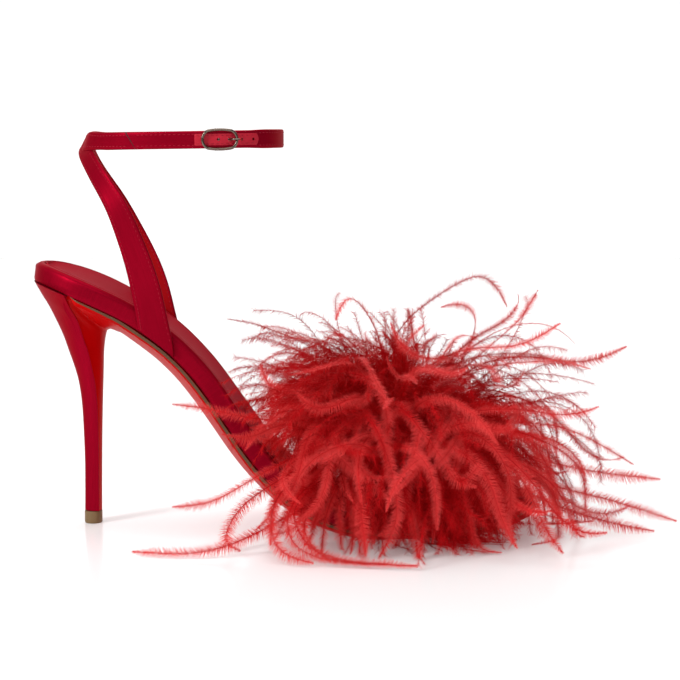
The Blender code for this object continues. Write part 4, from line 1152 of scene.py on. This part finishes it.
# The folded end of the inner strap, rolled round the bar, with a slot for the prong's eye.
SLOT_HALF = 0.00078
FOLD_EDGE = 0.0001
FOLD_SIDES = 32
for part, name in ((1, "strap_fold_upper"), (-1, "strap_fold_lower")):
    rings = []
    for up, grow in ((SLOT_HALF, FOLD_RADIUS - FOLD_EDGE), (SLOT_HALF + FOLD_EDGE, FOLD_RADIUS),
                     (BILLET_WIDTH / 2 - FOLD_EDGE, FOLD_RADIUS),
                     (BILLET_WIDTH / 2, FOLD_RADIUS - FOLD_EDGE)):
        rings.append([in_frame(buckle_frame, BAR_PLACE + grow * math.cos(a),
                               grow * math.sin(a) - BAR_DEPTH, part * up)
                      for a in (math.tau * (k + 0.5) / FOLD_SIDES for k in range(FOLD_SIDES))])
    show(skin(name, rings, [lining_leather]), "red_leather", "ankle_straps")

# Vamp band
# A wide satin band over the toes, lasted under the footbed's edge on both sides. It is hidden
# under the feathers, which are sewn on it, and shows only from the front and from below.

BAND_THICKNESS = 0.0018
BAND_START = 0.635
BAND_END = 0.830
BAND_RISE = 0.0330
BAND_FALL = 0.40
BAND_FOOT = 0.0012
BAND_SPRING = 0.0010
BAND_STEPS = 48
BAND_ROWS = 24


def band_profile(share, away):
    """Outline across the toes from wall to wall, at a distance outside the band's inner face."""
    x = place_at(share)
    outer, inner = half_widths(share)
    along = (share - BAND_START) / (BAND_END - BAND_START)
    thickness = FOOTBED_THICKNESS * thickness_share(share)
    base = thickness + BAND_SPRING
    crown = BAND_RISE * max(1 - BAND_FALL * along, 0.30) + thickness - base + away
    middle, half = (inner - outer) / 2, (inner + outer) / 2 + 2 * GAP + away
    points = [on_sole(x, middle - half, BAND_FOOT)]
    for step in range(BAND_STEPS + 1):
        angle = math.pi * step / BAND_STEPS
        c, s = -math.cos(angle), math.sin(angle)
        points.append(on_sole(x, middle + half * math.copysign(abs(c) ** 0.85, c),
                              base + crown * s ** 0.9))
    points.append(on_sole(x, middle + half, BAND_FOOT))
    return points


band_rings = []
for step in range(BAND_ROWS + 1):
    t = 0.5 - 0.5 * math.cos(math.pi * step / BAND_ROWS)
    share = BAND_START + (BAND_END - BAND_START) * t
    edge = min(1.0, min(step, BAND_ROWS - step) / 3)
    inner_face = band_profile(share, BAND_THICKNESS * (0.3 - 0.3 * edge))
    outer_face = band_profile(share, BAND_THICKNESS * (0.7 + 0.3 * edge))
    band_rings.append(inner_face + outer_face[::-1])
band = skin("vamp_band_satin", band_rings, [red_satin], sharp=50)
show(band, "red_satin", "vamp_band")

# Feathers
# Ostrich plumes, dyed red: long limp quills with loose fluffy barbules on both sides. They are
# sewn in rows on the vamp band, rise from its middle like a fountain and droop to the floor.

QUILL_RADIUS = 0.00020
BARBULE_PITCH = 0.00034
BARBULE_LENGTH = 0.0050
BARBULE_WIDTH = 0.00022
RIBBON_PITCH = 0.00018
RIBBON_HALF = 0.0038         # reach of the barbules on a full, flat plume
FLOOR_CLEARANCE = 0.0010
TOE_REACH = 0.102
HEEL_REACH = 0.076
SIDE_REACH = 0.070
WIDEST = 0.080               # past this distance from the middle line the strands bend inwards
HIGHEST = 0.088              # and above this level they bend over
PAST_WIDEST = 0.35           # share of a length that is left past those limits
PAST_HIGHEST = 0.50
STEEPEST = -1.45             # radians
WAVE_UP = 0.26
WAVE_ASIDE = 0.42
FLICK_START = 0.72           # share of a strand where its tip begins to turn up
LIE_ON_SHOE = 0.0016
WALL_MARGIN = 0.0025
BAND_MARGIN = 0.005          # share of the sole's length
DROOP = 0.16                 # how far the barbules hang, as a share of their length
STANDING = 1.05              # radians; steeper strands go with the top bunch
SIDEWARD = 0.64              # past this sine a strand points to a side
HEELWARD = -0.6              # and past this cosine to the heel
TOEWARD = 0.9                # radians on either side of the toe
# strands rooted in this hollow get a painted shadow, nearly black
HOLLOW = (-2.35, -1.75)      # radians, towards the heel and the outer side
HOLLOW_PAINTED_SHADOW = 0.15

chance = np.random.default_rng(7)


def top_of_shoe(x, y):
    """Lowest level that a strand may lie at: the floor, the footbed or the toes' band."""
    share = share_at(x)
    if share >= 1.0 or share <= 0.3:
        return FLOOR_CLEARANCE
    outer, inner = half_widths(share)
    if y < -outer - WALL_MARGIN or y > inner + WALL_MARGIN:
        return FLOOR_CLEARANCE
    level = on_sole(x, y, FOOTBED_THICKNESS * thickness_share(share)).z + LIE_ON_SHOE
    if BAND_START - BAND_MARGIN < share < BAND_END + BAND_MARGIN:
        along = min(max((share - BAND_START) / (BAND_END - BAND_START), 0.0), 1.0)
        middle, half = (inner - outer) / 2, (inner + outer) / 2 + 0.003
        bow = math.sqrt(max(1 - ((y - middle) / half) ** 2, 0.0))
        level += (BAND_RISE * (1 - BAND_FALL * along) + 0.0015) * bow
    return level


def settled(points):
    """The strand laid on what is below it and eased along its length."""
    points = np.array(points)
    for point in points:
        point[2] = max(point[2], top_of_shoe(point[0], point[1]))
    ease(points, 2)
    points[:, 2] = np.maximum(points[:, 2], FLOOR_CLEARANCE)
    return points


def falling_strand(root, direction, lift, length, curl, sway, steps, flick=0.0):
    """A limp strand that leaves its root, bends steadily down and may turn up again at its tip;
    angles are in radians."""
    points = [np.array(root)]
    step = length / steps
    wave, bow = chance.uniform(0, math.tau), chance.uniform(0.8, 2.2)
    for index in range(steps):
        t = (index + 0.5) / steps
        slant = max(lift - curl * t ** bow + WAVE_UP * math.sin(wave + 6.5 * t), STEEPEST)
        slant += flick * max(t - FLICK_START, 0.0) / (1 - FLICK_START)
        turn = direction + sway * t ** 1.5 + WAVE_ASIDE * math.sin(wave + 5.0 * t)
        way = np.array((math.cos(slant) * math.cos(turn), math.cos(slant) * math.sin(turn),
                        math.sin(slant)))
        points.append(points[-1] + way * step)
    points = np.array(points)
    far = np.abs(points[:, 1]) > WIDEST
    points[far, 1] = np.sign(points[far, 1]) * (
        WIDEST + PAST_WIDEST * (np.abs(points[far, 1]) - WIDEST))
    high = points[:, 2] > HIGHEST
    points[high, 2] = HIGHEST + PAST_HIGHEST * (points[high, 2] - HIGHEST)
    return settled(points)


def plume(points, width, shade, neat=False):
    """Vertices, faces and shades of one strand: a thin quill and its two rows of barbules. A neat
    one is a flat ribbon that turns its face away from the shoe."""
    way = np.gradient(points, axis=0)
    way /= np.linalg.norm(way, axis=1, keepdims=True) + 1e-12
    if neat:
        facing = points - np.array((place_at(0.72), 0.0, 0.0))
        facing[:, 1] *= 2.5
        side = np.cross(way, facing)
        spin = chance.uniform(-0.4, 0.4) + np.linspace(0, chance.uniform(-0.7, 0.7), len(points))
    else:
        side = np.cross(way, (0.0, 0.0, 1.0))
        spin = chance.uniform(0, math.tau) + np.linspace(0, chance.uniform(-2.5, 2.5), len(points))
    side /= np.linalg.norm(side, axis=1, keepdims=True) + 1e-9
    up = np.cross(side, way)
    flat = side * np.cos(spin)[:, None] + up * np.sin(spin)[:, None]
    deep = np.cross(way, flat)
    ends = np.linspace(1.0, 0.35, len(points))[:, None]
    tube = [points + (flat * math.cos(a) + deep * math.sin(a)) * QUILL_RADIUS * ends
            for a in (0.5, 0.5 + math.tau / 3, 0.5 + 2 * math.tau / 3)]
    quill_points = np.stack(tube, axis=1).reshape(-1, 3)
    rows = np.arange(len(points) - 1)[:, None]
    quill_faces = []
    for c in range(3):
        a, b = rows * 3 + c, rows * 3 + (c + 1) % 3
        quill_faces += [np.hstack([a, b, b + 3]), np.hstack([a, b + 3, a + 3])]
    lengths = np.concatenate([[0], np.cumsum(np.linalg.norm(np.diff(points, axis=0), axis=1))])
    count = max(int(lengths[-1] / (RIBBON_PITCH if neat else BARBULE_PITCH)), 8)
    at = (np.arange(count) + chance.uniform(0, 1, count)) / count * lengths[-1]
    at = np.repeat(at, 2)
    hand = np.tile([1.0, -1.0], count)
    t = at / lengths[-1]

    def along(values):
        return np.stack([np.interp(at, lengths, values[:, k]) for k in range(3)], axis=1)

    root, ahead, across, above = along(points), along(way), along(flat), along(deep)
    if neat:
        open_angle = np.radians(chance.uniform(52, 78, len(at)))
        lean = np.radians(chance.normal(-12, 12, len(at)))
        reach = RIBBON_HALF * width * chance.uniform(0.80, 1.12, len(at))
        reach *= np.minimum(0.45 + t * 4, 1.0) * np.minimum((1.03 - t) * 6, 1.0)
    else:
        open_angle = np.radians(chance.uniform(42, 78, len(at))) * (1 - 0.30 * t)
        lean = np.radians(chance.normal(0, 30, len(at)))
        reach = BARBULE_LENGTH * width * chance.uniform(0.55, 1.25, len(at))
        reach *= np.minimum(0.35 + t * 5, 1.0) * (1.0 - 0.35 * t ** 2)
    outward = across * np.cos(lean)[:, None] * hand[:, None] + above * np.sin(lean)[:, None]
    pointing = ahead * np.cos(open_angle)[:, None] + outward * np.sin(open_angle)[:, None]
    pointing[:, 2] -= DROOP
    tip = root + pointing * reach[:, None]
    tip[:, 2] = np.maximum(tip[:, 2], FLOOR_CLEARANCE * 0.5)
    foot = ahead * (BARBULE_WIDTH / 2)
    barb_points = np.stack([root - foot, root + foot, tip], axis=1).reshape(-1, 3)
    barb_faces = np.arange(len(at) * 3).reshape(-1, 3) + len(quill_points)
    # Painted shade: the quill and the barbules are darker near the root, inside the trim, and
    # lighter towards the tips.
    quill_t = np.repeat(np.linspace(0, 1, len(points)), 3)
    quill_shade = shade * 0.20 + (0.28 if neat else 0.45) * quill_t
    painted_depth = shade * (0.30 + 0.70 * np.minimum(t / 0.55, 1.0) ** 0.8)
    painted_depth += 0.30 * (1 - shade) * np.maximum(t - 0.4, 0.0) / 0.6
    foot_shade = painted_depth * (0.80 if neat else 0.72)
    tip_shade = np.minimum(painted_depth * 1.15, 1.0)
    barb_shade = np.stack([foot_shade, foot_shade, tip_shade], axis=1).ravel()
    return (np.concatenate([quill_points, barb_points]),
            np.concatenate(quill_faces + [barb_faces]),
            np.concatenate([quill_shade, barb_shade]))


# Strands that stand out on the outer side, listed one by one: places in millimetres along, across
# and up, each from its root to its tip.
PLACED_STRANDS = (
    ((91, -24, 62), (104, -32, 66), (114, -42, 65), (119, -50, 57), (120, -56, 44), (119, -60, 32)),
    ((101, -40, 48), (106, -48, 55), (114, -56, 51), (120, -64, 38), (123, -69, 24),
     (122, -73, 14), (116, -76, 3)),
    ((102, -40, 50), (106, -50, 40), (111, -58, 31), (120, -64, 23)),
    ((116, -36, 53), (125, -46, 55), (132, -54, 48), (140, -60, 38), (145, -63, 30),
     (153, -66, 28)),
    ((145, -62, 29), (149, -66, 31), (154, -68, 37)),
    ((138, -36, 47), (151, -48, 46), (161, -56, 40), (166, -62, 28), (165, -66, 12)),
    ((150, -28, 46), (158, -36, 42), (169, -46, 31), (175, -54, 21), (180, -60, 10),
     (186, -64, 2)),
    ((98, -40, 29), (86, -56, 20), (85, -64, 14), (91, -72, 6), (106, -78, 2), (130, -83, 2)),
    ((100, -44, 25), (90, -60, 17), (89, -68, 10), (97, -76, 3), (114, -80, 2)),
    ((101, -42, 31), (88, -52, 24), (82, -60, 15), (85, -68, 6), (98, -75, 2), (120, -80, 2)),
    ((96, -40, 34), (84, -50, 28), (77, -58, 20), (76, -66, 11), (81, -73, 4), (92, -79, 2)),
    ((118, 0, 59), (126, 5, 79), (139, 8, 91), (157, 10, 101), (166, 12, 97), (171, 12, 88)),
    ((120, 0, 55), (118, -5, 76), (110, -8, 91), (104, -10, 93), (100, -12, 85)),
    ((114, 0, 55), (98, 5, 71), (81, 8, 76), (67, 10, 81), (55, 12, 83)),
    ((126, 0, 57), (150, -8, 72), (174, -12, 75), (190, -14, 84)),
    ((131, 0, 53), (158, -10, 65), (186, -16, 69), (202, -18, 66)),
    ((139, 0, 47), (167, -10, 44), (194, -14, 41), (220, -16, 27)),
    ((142, -10, 40), (174, -20, 32), (201, -24, 26), (229, -26, 23)),
    ((146, -10, 36), (182, -20, 21), (210, -24, 14), (236, -26, 6)),
    ((146, -10, 32), (182, -20, 14), (206, -24, 6), (227, -26, 2)),
    ((98, -30, 39), (74, -38, 29), (53, -44, 18), (37, -46, 16)),
    ((94, -20, 46), (70, -26, 47), (49, -30, 52), (36, -32, 54)),
    ((94, -50, 20), (64, -60, 6), (45, -64, 2), (23, -61, 2)),
    ((98, -34, 36), (67, -46, 19), (58, -54, 6), (64, -60, 2)),
)

bunches = {name: [] for name in (
    "down", "hem", "placed", "outer_side", "inner_side", "toe_side", "heel_side", "top")}
# The placed strands take the lightest tones, painted light like the long plumes.
for places in PLACED_STRANDS:
    line = smooth_rows([[np.array(place) / 1000] for place in places],
                       max(3, 26 // (len(places) - 1)))
    bunches["placed"].append(
        plume(settled([row[0] for row in line]), 1.0, chance.uniform(0.9, 1.0), True))


def band_root(direction, spread):
    """A place on the band, away from its middle in a direction by a share of its reach."""
    u = min(max(0.5 + 0.5 * math.cos(direction) * spread, 0.02), 0.98)
    share = BAND_START + (BAND_END - BAND_START) * u
    phi = math.radians(82) * math.sin(direction) * spread
    outer, inner = half_widths(share)
    thickness = FOOTBED_THICKNESS * thickness_share(share) + BAND_SPRING
    crown = BAND_RISE * (1 - BAND_FALL * u) + BAND_THICKNESS
    half = (inner + outer) / 2 + BAND_THICKNESS + 2 * GAP
    across = (inner - outer) / 2 + half * math.copysign(abs(math.sin(phi)) ** 0.85, phi)
    rise = thickness + crown * math.cos(phi) ** 0.9 + 2 * QUILL_RADIUS
    return np.array(on_sole(place_at(share), across, rise))


def neighbours(direction, lift):
    """The bunch that a strand goes with."""
    toeward, sideward = math.cos(direction), math.sin(direction)
    if lift > STANDING:
        return bunches["top"]
    if abs(sideward) > SIDEWARD:
        return bunches["outer_side" if sideward < 0 else "inner_side"]
    return bunches["toe_side" if toeward > 0 else "heel_side"]


def random_angle(low, high):
    """Between two angles in degrees, as radians."""
    return math.radians(chance.uniform(low, high))


def random_direction(index):
    """Round the whole band, with the fullest plumes at the toe, the outer side and the heel."""
    return math.radians((chance.uniform(-180, 180), chance.normal(-10, 45),
                         chance.normal(-110, 45), chance.normal(-152, 18),
                         chance.normal(180, 35))[index % 5])


def shade_at(direction, low, high):
    """Lighter at the toe, and a painted shadow, nearly black, in the hollow under the outer plumes.
    """
    shade = chance.uniform(low, high)
    if HOLLOW[0] < direction < HOLLOW[1]:
        return shade * HOLLOW_PAINTED_SHADOW
    return 0.35 + 0.65 * shade if abs(direction) < TOEWARD else shade


def reach_towards(direction):
    """Length of the longest strands in a direction."""
    ahead, aside = math.cos(direction) ** 2, math.sin(direction) ** 2
    return (TOE_REACH if math.cos(direction) > 0 else HEEL_REACH) * ahead + SIDE_REACH * aside


DOWN_COUNT = 680
HEM_COUNT = 520
BODY_COUNT = 660
LONG_COUNT = 205
DOWN_LENGTH = (0.022, 0.042)
HEM_LENGTH = (0.020, 0.044)
HEM_LENGTH_AT_HEEL = (0.016, 0.028)
CROWN_LENGTH = (0.026, 0.054)
thinning = 1

# Down: short dark strands all over the band, which hide it; their darkness is painted shade for the
# depth of the trim.
for index in range(DOWN_COUNT // thinning):
    direction = random_angle(-180, 180)
    spread = math.sqrt(chance.uniform(0.02, 1.0))
    low = abs(math.sin(direction)) * spread
    lift = math.radians(chance.uniform(15, 75) - 60 * low)
    line = falling_strand(band_root(direction, spread), direction + chance.normal(0, 0.5), lift,
                          chance.uniform(*DOWN_LENGTH), random_angle(40, 90),
                          chance.normal(0, 0.6), steps=9)
    bunches["down"].append(plume(line, chance.uniform(0.9, 1.2),
                                 shade_at(direction, 0.22, 0.60)))

# The hem: strands from the edge of the band that drop past the sole and lie along its edge.
for index in range(HEM_COUNT // thinning):
    side = -1 if index % 3 else 1
    place = side * random_angle(5, 165)
    toeward = index % 5 or abs(place) < TOEWARD
    direction = side * math.radians(chance.normal(4 if toeward else 172, 16))
    line = falling_strand(band_root(place, 1.0), direction, random_angle(-65, -20),
                          chance.uniform(*(HEM_LENGTH if toeward else HEM_LENGTH_AT_HEEL)),
                          random_angle(-55, -15), chance.normal(0, 0.4), steps=11)
    bunches["hem"].append(plume(line, chance.uniform(0.6, 0.9), shade_at(place, 0.35, 0.80)))

# The body of the trim: middling strands, some of which stand up from the crown; their darker tone
# is painted shade for the inside of the trim.
for index in range(BODY_COUNT // thinning):
    direction = random_direction(index)
    if index % 3 == 0:
        spread = 0.5
        lift = random_angle(60, 115)
        length = chance.uniform(*CROWN_LENGTH)
        curl = random_angle(20, 120)
    elif math.cos(direction) < HEELWARD:
        spread = 0.95
        lift = random_angle(30, 72)
        length = HEEL_REACH * chance.uniform(0.62, 1.0)
        curl = random_angle(60, 125)
    else:
        spread = 0.95
        lift = random_angle(30, 72) if index % 2 else random_angle(-5, 45)
        length = reach_towards(direction) * chance.uniform(0.45, 0.95)
        curl = random_angle(60, 180)
    line = falling_strand(band_root(direction, chance.uniform(0.0, spread)), direction, lift,
                          length, curl, chance.normal(0, 0.9), steps=18)
    neighbours(direction, lift).append(
        plume(line, chance.uniform(0.7, 1.05), chance.uniform(0.25, 0.72)))

# The long plumes on top: flat, full and light, often turned up at the tip; their lighter tone is
# painted light on the outside of the trim.
for index in range(LONG_COUNT // thinning):
    direction = random_direction(index)
    lift = random_angle(0, 60 if math.cos(direction) < HEELWARD else 80)
    length = reach_towards(direction) * chance.uniform(0.75, 1.10)
    line = falling_strand(band_root(direction, chance.uniform(0.0, 0.85)), direction, lift,
                          length, random_angle(80, 200), chance.normal(0, 1.2), steps=22,
                          flick=random_angle(-20, 120))
    neighbours(direction, lift).append(
        plume(line, chance.uniform(0.6, 1.05), chance.uniform(0.80, 1.0), True))

# Dyed ostrich barb: matt keratin, dyed deepest at the quill and thinning to pale, silky tips; the
# darkness near the quill is also painted shade. The shade of each barbule goes from foot to tip.
feather_dye_painted_shade_and_glow, feather_shader = start_finish(
    "ostrich_feather_dye_painted_shade_and_glow", "#D02A2A", roughness=0.60, ior=1.5, specular_ior_level=0.10,
    specular_tint=linear("#FF8880"), sheen_weight=0.12, sheen_roughness=0.5,
    sheen_tint=linear("#FF6A60"), emission_color=linear("#B00008"), emission_strength=0.10)
# The faint red emission is a painted glow: the barbules give off light of their own.
shade = add_node(feather_dye_painted_shade_and_glow, "ShaderNodeAttribute", attribute_name="shade")
dye = add_node(feather_dye_painted_shade_and_glow, "ShaderNodeValToRGB", [(shade.outputs["Fac"], "Fac")],
               into=(0, feather_shader, "Base Color"))
# The darkest tones carry the painted shade inside the trim and the painted shadow in its hollow.
tones = dye.color_ramp.elements
tones[0].color = linear("#300001")
tones[1].color = linear("#E8504E")
for place, colour in ((0.17, "#7A0004"), (0.60, "#C01218")):
    tones.new(place).color = linear(colour)

for name, made in bunches.items():
    points = np.concatenate([bunch[0] for bunch in made])
    offsets = np.cumsum([0] + [len(bunch[0]) for bunch in made[:-1]])
    faces = np.concatenate([bunch[1] + offset for bunch, offset in zip(made, offsets)])
    shades = np.concatenate([bunch[2] for bunch in made])
    mesh = bpy.data.meshes.new(f"feathers_{name}")
    mesh.vertices.add(len(points))
    mesh.vertices.foreach_set("co", points.ravel())
    mesh.loops.add(faces.size)
    mesh.loops.foreach_set("vertex_index", faces.ravel().astype(np.int32))
    mesh.polygons.add(len(faces))
    mesh.polygons.foreach_set("loop_start", np.arange(0, faces.size, 3, dtype=np.int32))
    mesh.update(calc_edges=True)
    layer = mesh.attributes.new("shade", "FLOAT", "POINT")
    layer.data.foreach_set("value", shades)
    mesh.materials.append(feather_dye_painted_shade_and_glow)
    show(put(f"feathers_{name}", mesh), "red_feather", "feather_trim")
